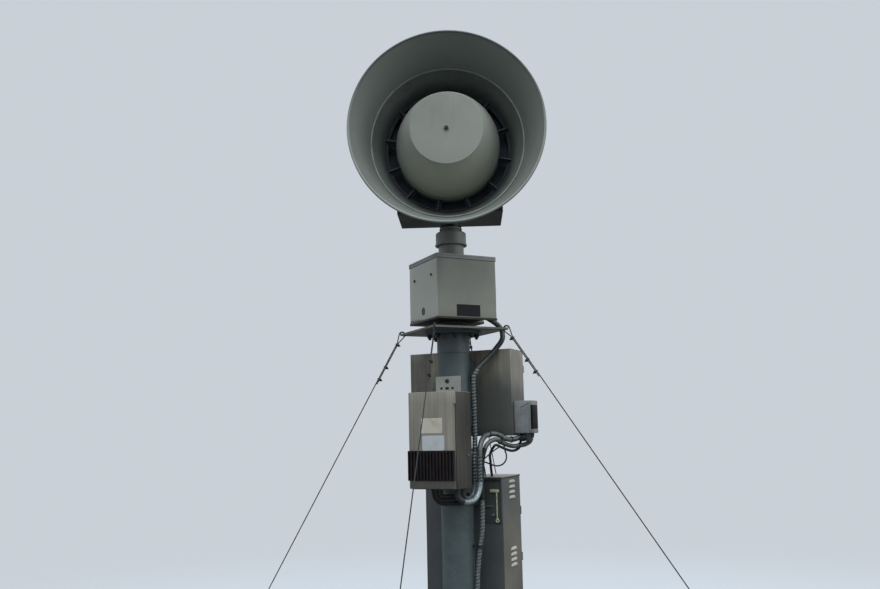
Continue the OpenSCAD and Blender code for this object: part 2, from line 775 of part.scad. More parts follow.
module rotator_screws() {
    h = box_side / 2;
    plug = 4;
    sunk = 2;
    color("#33383a") at_box(box_z) {
        translate([port_depth - h - eps, 0, port_h]) rotate([0, -90, 0]) difference() {
            cylinder(h = plug, r = port_r - fit);
            translate([0, 0, plug - sunk]) cylinder(h = sunk + 1, r = 0.6 * port_r);
        }
        for (y = [-screw_side, screw_side])
            translate([screw_depth - h - eps, y, screw_h]) rotate([0, -90, 0]) {
            cylinder(h = screw_depth, r = screw_r - fit);
            translate([0, 0, screw_depth]) hex_nut(3.25 * screw_r, 1.25 * screw_r);
        }
        // Bare plate on the front
        slab(5 - plate_w / 2, 5 + plate_w / 2, -h - 1.2, -h, plate_up, plate_up + plate_h);
    }
}

module rotator_column() {
    color("#70777a") translate([0, 0, lid_top]) rotate_extrude() polygon([[0, 0], [column_d / 2, 0],
        [column_d / 2, column_h - 2], [column_d / 2 - 2, column_h], [spindle_d / 2, column_h],
        [spindle_d / 2, column_h + spindle_l], [0, column_h + spindle_l]]);
}

// Turning head
module turntable_cap() {
    roof = column_top + gap_turn;
    bore = spindle_d / 2 + fit;
    lip_up = cap_base + 8;
    shoulder = neck_z - 33;
    collar = neck_z - 21;
    color("#656c6d") rotate_extrude() polygon([
        [cap_inner_r, cap_base], [lip_d / 2 - 1, cap_base], [lip_d / 2, cap_base + 2], [lip_d / 2, lip_up],
        [cap_d / 2, lip_up + 3], [cap_d / 2, shoulder], [cap_d / 2 - 2, shoulder + 5],
        [cap_d / 2 - 8, shoulder + 9], [ring_d / 2 + 4, collar], [neck_d / 2 - 3, collar + 2],
        [neck_d / 2 - 3, collar + 10], [ring_d / 2, collar + 12], [ring_d / 2, neck_z - 2],
        [ring_d / 2 - 2, neck_z], [0, neck_z],
        [0, column_top + spindle_l + gap_turn], [bore, column_top + spindle_l + gap_turn],
        [bore, roof], [cap_inner_r, roof]]);
}

module neck() {
    wall = 10;
    r = neck_d / 2;
    ring = 12;
    low = 8;
    color("#33393b") translate([0, 0, neck_z]) rotate_extrude() polygon([
        [r - wall, 0], [r - 3, 0], [r - 3, low], [r + 4, low],
        [r + 4, low + ring], [r, low + ring + 4], [r, neck_l], [r - wall, neck_l]]);
}

module head_housing() {
    w = head_w / 2;
    color("#4c5350") translate([0, head_back, horn_z]) rotate([90, 0, 0]) difference() {
        linear_extrude(head_back + head_front) polygon([[-w, -head_down], [w, -head_down],
            [w, head_up - head_cut], [w - head_cut, head_up], [head_cut - w, head_up],
            [-w, head_up - head_cut]]);
        // Air intake pockets on both sides
        for (m = [-1, 1]) translate([m * w - (m > 0 ? intake_depth : 1), -intake_down, intake_in])
            cube([intake_depth + 1, intake_h, intake_l]);
    }
}

module intake_louvres() {
    n = 8;
    slope = 38;
    x = (head_w - intake_depth) / 2;
    z = horn_z - intake_down;
    color("#3c4340") for (m = [-1, 1]) for (k = [0:n - 1])
        translate([m * x, head_back - intake_in, z + intake_h / n * (k + 0.5)])
            rotate([90, 0, 0]) rotate([0, 0, -m * slope])
                translate([-blade_w / 2, -blade_t / 2, 0]) cube([blade_w, blade_t, intake_l]);
}

module chopper_drum() {
    color("#2f3534") at_horn(head_front) difference() {
        cylinder(h = throat_y - throat_t - head_front, r = drum_r);
        translate([0, 0, 12]) difference() {
            cylinder(h = throat_y, r = throat_r - port_edge + 2);
            translate([0, 0, -1]) cylinder(h = throat_y + 2, r = bullet_foot_r - port_edge);
        }
    }
}

module throat_plate() {
    web = 6;
    color("#3a413f") at_horn(throat_y - throat_t) difference() {
        cylinder(h = throat_t, r = throat_r + throat_flange);
        for (k = [0:vane_n - 1]) rotate([0, 0, first_vane + 360 / vane_n * k + web / 2])
            translate([0, 0, -1]) rotate_extrude(angle = 360 / vane_n - web)
                translate([bullet_foot_r + port_edge, 0])
                    square([throat_r - bullet_foot_r - 2 * port_edge, throat_t + 2]);
        for (k = [0:seam_bolts - 1]) rotate([0, 0, 360 / seam_bolts * (k + 0.5)])
            translate([throat_bolt_r, 0, -1]) cylinder(h = throat_t + 2, d = bolt_d + 1);
    }
}

module stator_vanes() {
    t1 = vane_l / (seam_y - throat_y);
    color("#59615e") for (k = [0:vane_n - 1]) at_horn(throat_y)
        rotate([0, 0, first_vane + 360 / vane_n * k]) rotate([90, 0, 0]) translate([0, 0, -vane_t / 2])
            linear_extrude(vane_t) polygon(concat(
            [for (j = [0:6]) [foot_rad(vane_l * j / 6 / (bullet_y - throat_y)) + fit, vane_l * j / 6]],
            [for (j = [6:-1:0]) [rear_inner(t1 * j / 6) - fit, vane_l * j / 6]]));
}

module horn_rear() {
    l = seam_y - throat_y;
    color("#4a514e") at_horn(throat_y) difference() {
        union() {
            rotate_extrude($fn = 180) polygon(concat(
                [for (j = [0:steps]) [rear_inner(j / steps), l * j / steps]],
                [for (j = [steps:-1:0]) [rear_inner(j / steps) + horn_wall, l * j / steps]]));
            rotate_extrude($fn = 180) translate([throat_r + horn_wall - 1, 0])
                square([throat_flange + 1 - horn_wall, flange_t]);
            rotate_extrude($fn = 180) translate([seam_r + horn_wall - 1, l - flange_t])
                square([seam_flange + 1, flange_t]);
        }
        for (k = [0:seam_bolts - 1]) rotate([0, 0, 360 / seam_bolts * (k + 0.5)]) {
            translate([throat_bolt_r, 0, -1]) cylinder(h = flange_t + 2, d = bolt_d + 1);
            translate([seam_bolt_r, 0, l - flange_t - 1]) cylinder(h = flange_t + 2, d = bolt_d + 1);
        }
    }
}

module horn_front() {
    l = mouth_y - rim_bead_r - seam_y;
    color("#56605c") at_horn(seam_y) difference() {
        union() {
            rotate_extrude($fn = 180) polygon(concat(
                [for (j = [0:steps]) [front_inner(j / steps), l * j / steps]],
                [for (j = [steps:-1:0]) [front_inner(j / steps) + horn_wall, l * j / steps]]));
            rotate_extrude($fn = 180) translate([rim_r - rim_bead_r, l]) circle(r = rim_bead_r, $fn = 32);
            rotate_extrude($fn = 180) translate([seam_r + horn_wall - 1, 0])
                square([seam_flange + 1, flange_t]);
        }
        for (k = [0:seam_bolts - 1]) rotate([0, 0, 360 / seam_bolts * (k + 0.5)])
            translate([seam_bolt_r, 0, -1]) cylinder(h = flange_t + 2, d = bolt_d + 1);
    }
}

module bolt_through(grip) {
    across = 1.625 * bolt_d;
    nut = 0.8 * bolt_d;
    translate([0, 0, -grip - 2 * nut]) cylinder(h = grip + 2 * nut + 1, d = bolt_d);
    hex_nut(across, nut - 1);
    translate([0, 0, -grip - nut]) hex_nut(across, nut);
}

module horn_bolts() {
    color("#7d8485") for (k = [0:seam_bolts - 1]) {
        a = 360 / seam_bolts * (k + 0.5);
        at_horn(seam_y + flange_t) rotate([0, 0, a])
            translate([seam_bolt_r, 0, 0]) bolt_through(2 * flange_t);
        at_horn(throat_y + flange_t) rotate([0, 0, a])
            translate([throat_bolt_r, 0, 0]) bolt_through(throat_t + flange_t);
    }
}

module bullet() {
    color("#6c736f") at_horn(throat_y) rotate_extrude($fn = 180) polygon(concat([[0, 0]],
        [for (j = [0:steps]) [foot_rad(j / steps), (bullet_y - throat_y) * j / steps]],
        [for (j = [1:steps]) [nose_rad(j / steps), blend(bullet_y, nose_y, j / steps) - throat_y]],
        [[0, nose_y - throat_y]]));
}

module bullet_disc() {
    washer = 2;
    color("#808682") at_horn(nose_y) {
        rotate_extrude($fn = 180) polygon([[0, 0], [disc_r - 1, 0], [disc_r - 1, disc_t / 2],
            [disc_r - 1 - disc_t / 2, disc_t], [0, disc_t]]);
        // Centre bolt on its washer
        translate([0, 0, disc_t - eps]) cylinder(h = washer, d = 4 * bolt_d);
        translate([0, 0, disc_t + washer - 2 * eps]) hex_nut(2.4 * bolt_d, bolt_d);
    }
}

module rear_cover() {
    w = head_w / 2 - cover_in;
    low = cover_in - head_down;
    top = head_up - cover_in;
    head = 5;
    color("#454c49") translate([0, head_back + cover_t, horn_z]) rotate([90, 0, 0]) {
        linear_extrude(cover_t) polygon([[-w, low], [w, low], [w, top - head_cut],
            [w - head_cut, top], [head_cut - w, top], [-w, top - head_cut]]);
        for (x = [cover_in - w, w - cover_in])
            for (y = [low + 18, 0.4 * low, 0.15 * top, top - head_cut - 24])
                translate([x, y, -head]) hex_nut(13, head + eps);
    }
}

module motor_cowl() {
    n = 8;
    r = cowl_d / 2;
    slot_n = 24;
    slot_w = 10;
    slot_l = 90;
    foot_w = 22;
    foot_t = 8;
    color("#4c5350") translate([0, head_back + cover_t, horn_z]) rotate([-90, 0, 0]) difference() {
        rotate_extrude() polygon(concat([[0, 0], [r + foot_w, 0], [r + foot_w, foot_t], [r, foot_t]],
            [for (j = [0:n]) [r * cos(80 * j / n), cowl_l + cowl_dome * sin(80 * j / n)]],
            [[0, cowl_l + cowl_dome * sin(80)]]));
        // Cooling slots around the cowl's rear
        for (k = [0:slot_n - 1]) rotate([0, 0, 360 / slot_n * k])
            translate([r - 12, -slot_w / 2, cowl_l - slot_l - 20]) cube([20, slot_w, slot_l]);
    }
}

// Brackets and cabinets, all in the cabinet frame
module saddle(z) {
    w = saddle_w / 2;
    wall = 14;
    plate = 6;
    y = 0.35 * pole_r;
    difference() {
        slab(-w, w, y, near_y, z, z + saddle_h);
        translate([0, 0, z - 1]) cylinder(h = saddle_h + 2, r = pole_r + fit);
        slab(wall - w, w - wall, y, near_y - plate, z + plate, z + saddle_h - plate);
    }
}

module rear_brackets() {
    color("#4b5558") at_cab() {
        saddle(rear_z + saddle_in);
        saddle(rear_top - saddle_in - saddle_h);
        saddle(low_z + saddle_in);
        saddle(low_top - saddle_in - saddle_h);
    }
}

module front_mount() {
    y1 = back_y + back_plate_t;
    l = 0.5 * front_l;
    r = 0.62 * front_r;
    hole_z = front_top + 0.7 * mount_up;
    row_z = front_top + 0.3 * mount_up;
    hole_x = 0.04 * front_r;
    row = [hole_x - 32, hole_x - 4, hole_x + 4, hole_x + 31];
    block_h = 50;
    block_w = 60;
    color("#8d9392") at_cab() difference() {
        union() {
            slab(l, r, back_y, y1, front_z + 20, front_top + mount_up);
            for (z = [front_z + 60, front_top + 6]) difference() {
                slab(-block_w / 2, block_w / 2, y1 - eps, -pole_r / 2, z, z + block_h);
                translate([0, 0, z - 1]) cylinder(h = block_h + 2, r = pole_r + fit);
            }
        }
        translate([hole_x, 0, hole_z]) rotate([90, 0, 0]) cylinder(h = -back_y + 1, r = mount_hole_r);
        for (x = row) translate([x, 0, row_z]) rotate([90, 0, 0]) cylinder(h = -back_y + 1, r = 5);
    }
}

module rear_cabinet() {
    fold_x = 0.6 * rear_l;
    color("#6c6b65") at_cab() difference() {
        slab(rear_l, rear_r, near_y, near_y + rear_depth, rear_z, rear_top);
        // Folded seam of the sheet on the near face
        slab(fold_x - 1, fold_x + 1, near_y - 1, near_y + 1.2, rear_z - 1, rear_top + 1);
    }
}

module door_latch(x, y, z, dir) {
    knob_r = 14;
    rose = 6;
    translate([x, y, z]) rotate([90 * dir, 0, 0]) {
        cylinder(h = rose, r = knob_r);
        translate([-5, 2 - knob_r, rose - 1]) cube([10, 2 * knob_r - 4, 8]);
    }
}

module rear_door() {
    y = near_y + rear_depth;
    hinge_r = 6;
    color("#74736c") at_cab() {
        slab(rear_l + door_in, rear_r - door_in, y, y + door_t, rear_z + door_in, rear_top - door_in);
        for (z = [rear_z + latch_in, rear_top - latch_in]) door_latch(rear_l + 44, y + door_t - eps, z, -1);
        for (z = [rear_z + latch_in - 30, rear_top - latch_in - 10])
            translate([rear_r - door_in + 2, y + hinge_r + 4, z]) cylinder(h = 40, r = hinge_r);
    }
}

module louvre(x, y, z) {
    // A pressed hood that opens downwards
    l = 80;
    r = 7;
    wall = 2;
    difference() {
        translate([x, y, z]) rotate([-90, 0, 0]) cylinder(h = l, r = r);
        slab(x - 2 * r, x - 0.5, y - 1, y + l + 1, z - 2 * r, z + 2 * r);
        slab(x - 1, x + 2 * r, y - 1, y + l + 1, z - 2 * r, z - 1);
        translate([x, y + wall, z]) rotate([-90, 0, 0]) cylinder(h = l - 2 * wall, r = r - wall);
    }
}

module lower_cabinet() {
    y0 = near_y;
    roof = 12;
    over = 3;
    pitch = 28;
    color("#4a4e50") at_cab() {
        difference() {
            slab(low_l, low_r, y0, y0 + low_depth, low_z, low_top - roof);
            // Recessed handle bay on the near face
            slab(bay_r - bay_w, bay_r, y0 - 1, y0 + bay_depth, bay_top - bay_h, bay_top);
        }
        slab(low_l - over, low_r + over, y0 - over, y0 + low_depth + over, low_top - roof, low_top);
        for (top = [low_top - pitch, low_top - 384]) for (k = [0:3])
            louvre(low_r, y0 + 0.39 * low_depth, top - pitch * k);
    }
}

module lower_door() {
    y = near_y + low_depth;
    hinge_r = 6;
    color("#50555a") at_cab() {
        slab(low_l + door_in, low_r - door_in, y, y + door_t, low_z + door_in, low_top - 3 * door_in);
        for (z = [low_z + 2 * latch_in, low_top - 2 * latch_in])
            door_latch(low_l + 44, y + door_t - eps, z, -1);
        for (z = [low_z + latch_in, (low_z + low_top) / 2, low_top - 2 * latch_in])
            translate([low_r - door_in + 2, y + hinge_r + 3, z]) cylinder(h = 44, r = hinge_r);
    }
}

// A bar with a hooked plate at its top, a ring at its bottom and a knob beside it
module lower_handle() {
    x = bay_r - 24;
    y = near_y + bay_depth;
    top = bay_top - 51;
    low = bay_top - 204;
    plate = 16;
    bar = 8;
    out = 12;
    ring = 12;
    color("#a9a68f") at_cab() {
        slab(x - bar / 2, x + bar / 2, y - out, y - out / 2, low, top);
        slab(x - 38, x + 13, y - out, y, top - plate, top);
        translate([x + 2, y - out / 2, low - ring + 3]) rotate([90, 0, 0]) difference() {
            cylinder(h = out / 2, r = ring);
            translate([0, 0, -1]) cylinder(h = out, r = ring / 3);
        }
        slab(x - 4, x + 6, y - out / 2 - eps, y, low, low + 10);
        translate([x - 18, y, low + 22]) rotate([90, 0, 0]) cylinder(h = 20, r = 7);
    }
}

module front_cabinet() {
    fold = 6;
    tab = 60;
    color("#7a766c") at_cab() {
        slab(front_l, front_r, front_y + front_lid, back_y, front_z, front_top);
        // Lid of the cabinet with its folded edge
        slab(front_l + 1, front_r - fold, front_y, front_y + front_lid + eps, front_z + 4, front_top - tab);
        slab(front_l + 1, front_r + 1, front_y, front_y + front_lid + eps, front_top - tab, front_top + 1);
    }
}

module heat_sink() {
    web = 4;
    x = front_l + 1;
    w = front_r - front_l;
    pitch = (w - fin_t) / (fin_n - 1);
    z = front_z + sink_z;
    y = front_y - web;
    color("#150f14") at_cab() {
        slab(x, x + w, y, front_y, z, z + sink_h);
        for (k = [0:fin_n - 1])
            slab(x + pitch * k, x + pitch * k + fin_t, y - fin_depth, y + eps, z, z + sink_h);
    }
}

module blank_plates() {
    t = 1.5;
    h = 74;
    gap = 11;
    top = front_top - 129;
    color("#b9b7ac") at_cab() {
        slab(0.41 * front_l, 0.51 * front_r, front_y - t, front_y, top - h, top);
        slab(0.37 * front_l, 0.58 * front_r, front_y - t, front_y, top - 2 * h - gap, top - h - gap);
    }
}

module cabinet_latch() {
    rose_r = 8;
    key = 18;
    color("#9a9b95") at_cab() translate([front_r, back_y - 50, front_z + 0.34 * front_h]) rotate([0, 90, 0]) {
        cylinder(h = rose_r / 2, r = rose_r);
        translate([-3, -key / 2, rose_r / 2 - 1]) cube([6, key, 5]);
    }
}

module junction_box() {
    x1 = rear_r + junction_depth;
    y1 = junction_y + junction_w;
    z1 = junction_z + junction_h;
    x0 = rear_r + 0.4 * junction_depth;
    color("#686e6f") at_cab() difference() {
        slab(rear_r, x1 + junction_lid, junction_y, y1, junction_z, z1);
        // Groove between box and lid, window seat and moulded side recess
        slab(x1 - 1, x1 + 1, junction_y - 1, junction_y + 2, junction_z - 1, z1 + 1);
        slab(x1 - 1, x1 + 1, junction_y - 1, y1 + 1, z1 - 2, z1 + 1);
        slab(x1 + junction_lid - window_t, x1 + junction_lid + 1, junction_y + window_in, y1 - window_in,
            junction_z + window_low, z1 - window_high);
        translate([0, junction_y + 3, 0]) rotate([90, 0, 0]) linear_extrude(5) polygon([
            [x0, junction_z + 20], [x1 - 8, junction_z + 4], [x1 - 8, z1 - 12], [x0, z1 - 34]]);
    }
}

module junction_window() {
    x1 = rear_r + junction_depth + junction_lid;
    in = window_in + fit;
    color("#22282b") at_cab() slab(x1 - window_t, x1 - 0.6, junction_y + in, junction_y + junction_w - in,
        junction_z + window_low + fit, junction_z + junction_h - window_high - fit);
}

// Conduits and cables
module rotator_conduit() {
    color("#2a3035") at_cab() tube(rotator_route, conduit_d);
}

module link_conduit() {
    color("#50575b") at_cab() tube(link_route, conduit_d);
}

module base_conduit() {
    color("#464d50") at_cab() tube(base_route, thin_d);
}

module gland(d) {
    hex = 14;
    dome = 8;
    difference() {
        union() {
            cylinder(h = hex, d = 1.5 * d, $fn = 6);
            translate([0, 0, hex - eps]) cylinder(h = dome, d = 1.28 * d);
        }
        translate([0, 0, -1]) cylinder(h = hex + dome + 2, d = d + 2 * fit);
    }
}

module conduit_glands() {
    elbow_d = 1.3 * conduit_d;
    color("#24292b") at_cab() {
        translate(port) rotate([0, 90, box_yaw - cab_yaw]) gland(conduit_d);
        for (y = [entry_y1, entry_y2]) translate([entry_x, y, front_z]) rotate([180, 0, 0]) gland(conduit_d);
        // An elbow under the junction box turns one fitting level
        translate([elbow_x, elbow_y, elbow_z]) rotate([0, -90, 0]) gland(conduit_d);
        translate([elbow_x + elbow_d / 2, elbow_y, elbow_z - elbow_d / 2])
            cylinder(h = junction_z - elbow_z + elbow_d / 2, d = elbow_d);
        translate([elbow_x, elbow_y, elbow_z]) rotate([0, 90, 0]) cylinder(h = elbow_d / 2, d = elbow_d);
        translate([exit_x, exit_y, junction_z]) rotate([180, 0, 0]) gland(thin_d);
    }
}

// A band around two conduits at one height, and a band around a route at its point i
module tie(a, b, z) {
    inner = conduit_d + 3;
    translate([0, 0, z]) linear_extrude(5) difference() {
        hull() for (p = [a, b]) translate(p) circle(d = inner + 4, $fn = 32);
        hull() for (p = [a, b]) translate(p) circle(d = inner, $fn = 32);
    }
}

module band(route, i, d) {
    t = tangent(route, i);
    translate(route[i]) rotate([0, acos(t[2]), atan2(t[1], t[0])]) difference() {
        cylinder(h = 5, d = d + 7, $fn = 32);
        translate([0, 0, -1]) cylinder(h = 7, d = d + 3, $fn = 32);
    }
}

module cable_ties() {
    clip_h = 14;
    color("#15181a") at_cab() {
        band(rotator_route, 20, conduit_d);
        tie([bundle_x, -47.6], [link_x, -61.6], front_z + 26);
        band(link_route, 5, conduit_d);
        band(link_route, 9, conduit_d);
        band(base_route, 6, thin_d);
        band(base_route, 9, thin_d);
        // The clip ties one conduit to the pipe
        translate([clip_x, 0, clip_z]) difference() {
            union() {
                cylinder(h = clip_h, d = thin_d + 10);
                slab(pole_r + 2 - clip_x, -thin_d / 2 - 2, -6, 6, 0, clip_h);
            }
            translate([0, 0, -1]) cylinder(h = clip_h + 2, d = thin_d + 4);
            translate([-clip_x, 0, -1]) cylinder(h = clip_h + 2, r = pole_r + fit);
        }
    }
}

// Three cables that leave the front cabinet, pass beside the pipe and end in the lower cabinet
module battery_cables() {
    y = back_y - 90;
    turn = unit([0.74, 0.67, 0]);
    gap = cable_d + 2;
    side = pole_r + 6;
    color("#121416") at_cab() for (k = [0:2])
        let (r = 63 - gap * k, x = 22 * k - 44, z = front_z - 82 + gap * k) tube(concat(
            [[x, y, front_z], [x, y, front_z - 9.5]],
            [for (j = [0:4]) [x, y, front_z - 19] + r * (1 - cos(22.5 * j)) * turn
                - [0, 0, r * sin(22.5 * j)]],
            [[58, y + 88, z], [68, -70, z], [side - 2, -38, z], [side + 7, 0, z], [side + 4, 38, z],
                [side + 1, 72, z], [side, near_y - 20, z], [side, near_y - 10, z], [side, near_y, z]]),
            cable_d, 3);
}

// A thin cable loops from the rear cabinet to the lower one, a thick one follows the base conduit
module control_cables() {
    behind = near_y + 28;
    color("#16191b") at_cab() {
        tube([[215, 150, rear_z], [215, 150, rear_z - 5], [215, 150, rear_z - 10], [215, 148, rear_z - 28],
            [218, 140, rear_z - 55], [230, 122, rear_z - 80], [243, 104, rear_z - 102],
            [243, 95, rear_z - 125], [228, 89, rear_z - 146],
            [203, 84, rear_z - 155], [178, 80, rear_z - 152], [154, 76, rear_z - 143],
            [130, 84, rear_z - 136],
            [110, 108, rear_z - 142], [102, 136, rear_z - 162], [100, behind - 2, low_top + 28],
            [100, behind, low_top + 10], [100, behind, low_top + 5], [100, behind, low_top]], wire_d, 3);
        tube([[288, 212, junction_z], [288, 212, junction_z - 8], [288, 212, junction_z - 16],
            [287, 210, junction_z - 40], [284, 200, junction_z - 71], [272, 175, junction_z - 87],
            [256, 143, junction_z - 90], [237, 104, junction_z - 79], [220, 75, junction_z - 66],
            [206, 52, junction_z - 57], [196, 48, junction_z - 65], [180, 52, junction_z - 86],
            [165, 66, junction_z - 111], [150, 110, junction_z - 146], [136, behind - 4, low_top + 46],
            [131, behind + 14, low_top + 24], [131, behind + 18, low_top + 12],
            [131, behind + 18, low_top + 6], [131, behind + 18, low_top]], supply_d, 3);
    }
}

base_flange();
pole();
top_flange();
guy_plate();
flange_bolts();
guy_ropes();
rope_thimbles();
rope_clips();
turnbuckles();
guy_anchors();
rotator_stand();
rotator_housing();
rotator_lid();
rotator_screws();
rotator_column();
turntable_cap();
neck();
head_housing();
intake_louvres();
chopper_drum();
throat_plate();
stator_vanes();
horn_rear();
horn_front();
horn_bolts();
bullet();
bullet_disc();
rear_cover();
motor_cowl();
rear_brackets();
front_mount();
rear_cabinet();
rear_door();
lower_cabinet();
lower_door();
lower_handle();
front_cabinet();
heat_sink();
blank_plates();
cabinet_latch();
junction_box();
junction_window();
rotator_conduit();
link_conduit();
base_conduit();
conduit_glands();
cable_ties();
battery_cables();
control_cables();
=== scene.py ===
"""Looks of a rotating warning siren on its guyed mast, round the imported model. Metres, horn to -Y."""

from functools import partial
from math import asin, atan, atan2, cos, dist, hypot, pi, radians, sin, sqrt

import bmesh
import bpy
from mathutils import Matrix, Vector, noise


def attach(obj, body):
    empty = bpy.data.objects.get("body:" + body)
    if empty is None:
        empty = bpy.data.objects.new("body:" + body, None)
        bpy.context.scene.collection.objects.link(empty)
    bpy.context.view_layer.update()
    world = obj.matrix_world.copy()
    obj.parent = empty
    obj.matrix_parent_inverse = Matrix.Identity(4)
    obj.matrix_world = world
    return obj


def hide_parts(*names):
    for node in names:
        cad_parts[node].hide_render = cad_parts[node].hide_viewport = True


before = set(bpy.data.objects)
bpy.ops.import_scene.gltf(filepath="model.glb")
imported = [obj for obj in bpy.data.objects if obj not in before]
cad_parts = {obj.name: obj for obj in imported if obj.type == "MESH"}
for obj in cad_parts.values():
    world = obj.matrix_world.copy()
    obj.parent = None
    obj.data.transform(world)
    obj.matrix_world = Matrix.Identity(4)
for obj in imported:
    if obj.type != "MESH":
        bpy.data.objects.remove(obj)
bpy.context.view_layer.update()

# Sizes repeated from the part's source, in metres
POLE_R = 0.08415
PLATE_TOP, PLATE_T, PLATE_SIDE = 2.1175, 0.010, 0.436
BOX_YAW = radians(28)
CAB_YAW = radians(-23)
BOX_Z, BOX_TOP, BOX_HALF = 2.158, 2.494, 0.173
NOTCH_W, NOTCH_H = 0.083, 0.056
HORN_Z = 3.053
THROAT_R, SEAM_R, MOUTH_R = 0.325, 0.394, 0.470
THROAT_Y, SEAM_Y, MOUTH_Y = 0.172, 0.313, 0.544
BULLET_R, BULLET_FOOT_R, DISC_R = 0.269, 0.268, 0.182
BULLET_WIDE_Y, DISC_Y = 0.240, 0.510
REAR_L, REAR_R, REAR_DEEP = -0.324, 0.276, 0.199
REAR_Z, REAR_TOP = 1.555, 2.017
FRONT_L, FRONT_R = -0.118, 0.133
FRONT_Z, FRONT_TOP = 1.303, 1.781
LOW_L, LOW_R, LOW_DEEP = -0.244, 0.205, 0.280
LOW_Z, LOW_TOP = 0.400, 1.339
NEAR_Y = 0.12545
BACK_Y = -0.10545
FRONT_Y = -0.31045
JUNCTION_Z, JUNCTION_TOP, JUNCTION_Y = 1.566, 1.738, 0.15045
ROPE_R, BUCKLE_L, RING_R, RING_WIRE = 0.003, 0.310, 0.014, 0.0045
LUG_H = 0.048
# A thin sheet: radius of its edge, how deep it is dented, and size of the cells of its mesh
SHEET = 0.0006, 0.0008, 0.06

TO_BOX = Matrix.Rotation(BOX_YAW, 4, "Z")
TO_CAB = Matrix.Rotation(CAB_YAW, 4, "Z")
UPRIGHT = Matrix.Identity(4)
# Turns of a flat piece drawn in X and Y, so that it faces the front, the right or the left
FACE_FRONT = Matrix.Rotation(radians(90), 4, "X")
FACE_RIGHT = Matrix.Rotation(radians(90), 4, "Z") @ FACE_FRONT
FACE_LEFT = Matrix.Rotation(radians(-90), 4, "Z") @ FACE_FRONT


# Colours and surfaces

def paint(code):
    """An sRGB hex colour as the linear values that the shaders take."""
    channels = [int(code[i:i + 2], 16) / 255 for i in (1, 3, 5)]
    return (*[c / 12.92 if c <= 0.04045 else ((c + 0.055) / 1.055) ** 2.4 for c in channels], 1.0)


def add(tree, kind, inputs=None, **settings):
    """Adds one node: settings go on it, values and links into its sockets, a node by its first output."""
    node = tree.nodes.new("ShaderNode" + kind)
    for name, value in settings.items():
        setattr(node, name, value)
    for name, value in (inputs or {}).items():
        if isinstance(value, bpy.types.Node):
            value = value.outputs[0]
        if isinstance(value, bpy.types.NodeSocket):
            tree.links.new(value, node.inputs[name])
        else:
            node.inputs[name].default_value = value
    return node


class Coat:
    """A finish while it is laid: the place on the object in metres, and the colour so far."""

    def __init__(self, name):
        self.material = bpy.data.materials.new(name)
        self.material.use_nodes = True
        self.material.node_tree.nodes.clear()
        self.add = partial(add, self.material.node_tree)
        self.place = self.add("TexCoord").outputs["Object"]

    def cloud(self, across, tall=None, detail=3.0):
        """Soft noise of a real size in metres, across and in height."""
        scale = 1 / across, 1 / across, 1 / (tall or across)
        scaled = self.add("Mapping", {"Vector": self.place, "Scale": scale})
        return self.add("TexNoise", {"Vector": scaled, "Scale": 1.0, "Detail": detail})

    def tones(self, dark, light, across, tall=None, low=0.35, high=0.65):
        """Two tones of one coat in soft patches."""
        self.share = self.add("MapRange", {"Value": self.cloud(across, tall, 5.0), 1: low, 2: high})
        self.colour = self.add("Mix", {0: self.share, 6: paint(dark), 7: paint(light)},
                               data_type="RGBA").outputs[2]

    def marks(self, tint, across, tall, amount, low=0.5, high=0.75, detail=3.0):
        """Rain streaks or specks of another tint."""
        share = self.add("MapRange", {"Value": self.cloud(across, tall, detail), 1: low, 2: high, 4: amount})
        self.colour = self.add("Mix", {0: share, 6: self.colour, 7: paint(tint)}, data_type="RGBA").outputs[2]

    def graded_tint(self, tint, low, high, amount, ragged=0.02, across=0.04, axis="Z"):
        """A tint that is thickest at low and gone at high along one axis, with a ragged front. Mostly it
        paints light and shade; on the mast and the lower cabinet's side it only darkens towards the top.
        """
        height = self.add("SeparateXYZ", {"Vector": self.place}).outputs[axis]
        front = self.cloud(across, 2.5 * across, 4.0)
        lift = self.add("MapRange", {"Value": front, 1: 0.3, 2: 0.7, 3: -ragged, 4: ragged})
        level = self.add("Math", {0: height, 1: lift}, operation="ADD")
        share = self.add("MapRange", {"Value": level, 1: low, 2: high, 3: amount, 4: 0.0},
                         interpolation_type="SMOOTHSTEP")
        self.colour = self.add("Mix", {0: share, 6: self.colour, 7: paint(tint)}, data_type="RGBA").outputs[2]

    def finish(self, dark_rough, light_rough, height, depth, **sockets):
        """Joins the colour, a roughness that follows its tones, and a relief, depth metres deep."""
        sheen = self.add("MapRange", {"Value": self.share, 3: dark_rough, 4: light_rough})
        bump = self.add("Bump", {"Height": height, "Strength": 1.0, "Distance": depth})
        shader = self.add("BsdfPrincipled", {"Base Color": self.colour, "Roughness": sheen, "Normal": bump,
                                             **sockets})
        self.add("OutputMaterial", {"Surface": shader})


def sprayed_enamel(name, dark, light, streak, roughness=0.5, painted_light_and_grime=None):
    """Enamel or powder sprayed on: tone patches 0.3 m across, peel 7 mm across, rain streaks and spots."""
    coat = Coat(name)
    coat.tones(dark, light, 0.3)
    coat.marks(streak, 0.022, 0.5, 0.35)
    coat.marks(streak, 0.006, 0.006, 0.25, 0.66, 0.72, 2.0)
    if painted_light_and_grime:
        coat.graded_tint(*painted_light_and_grime)
    coat.finish(roughness + 0.08, roughness - 0.04, coat.cloud(0.007), 0.00012, IOR=1.5)


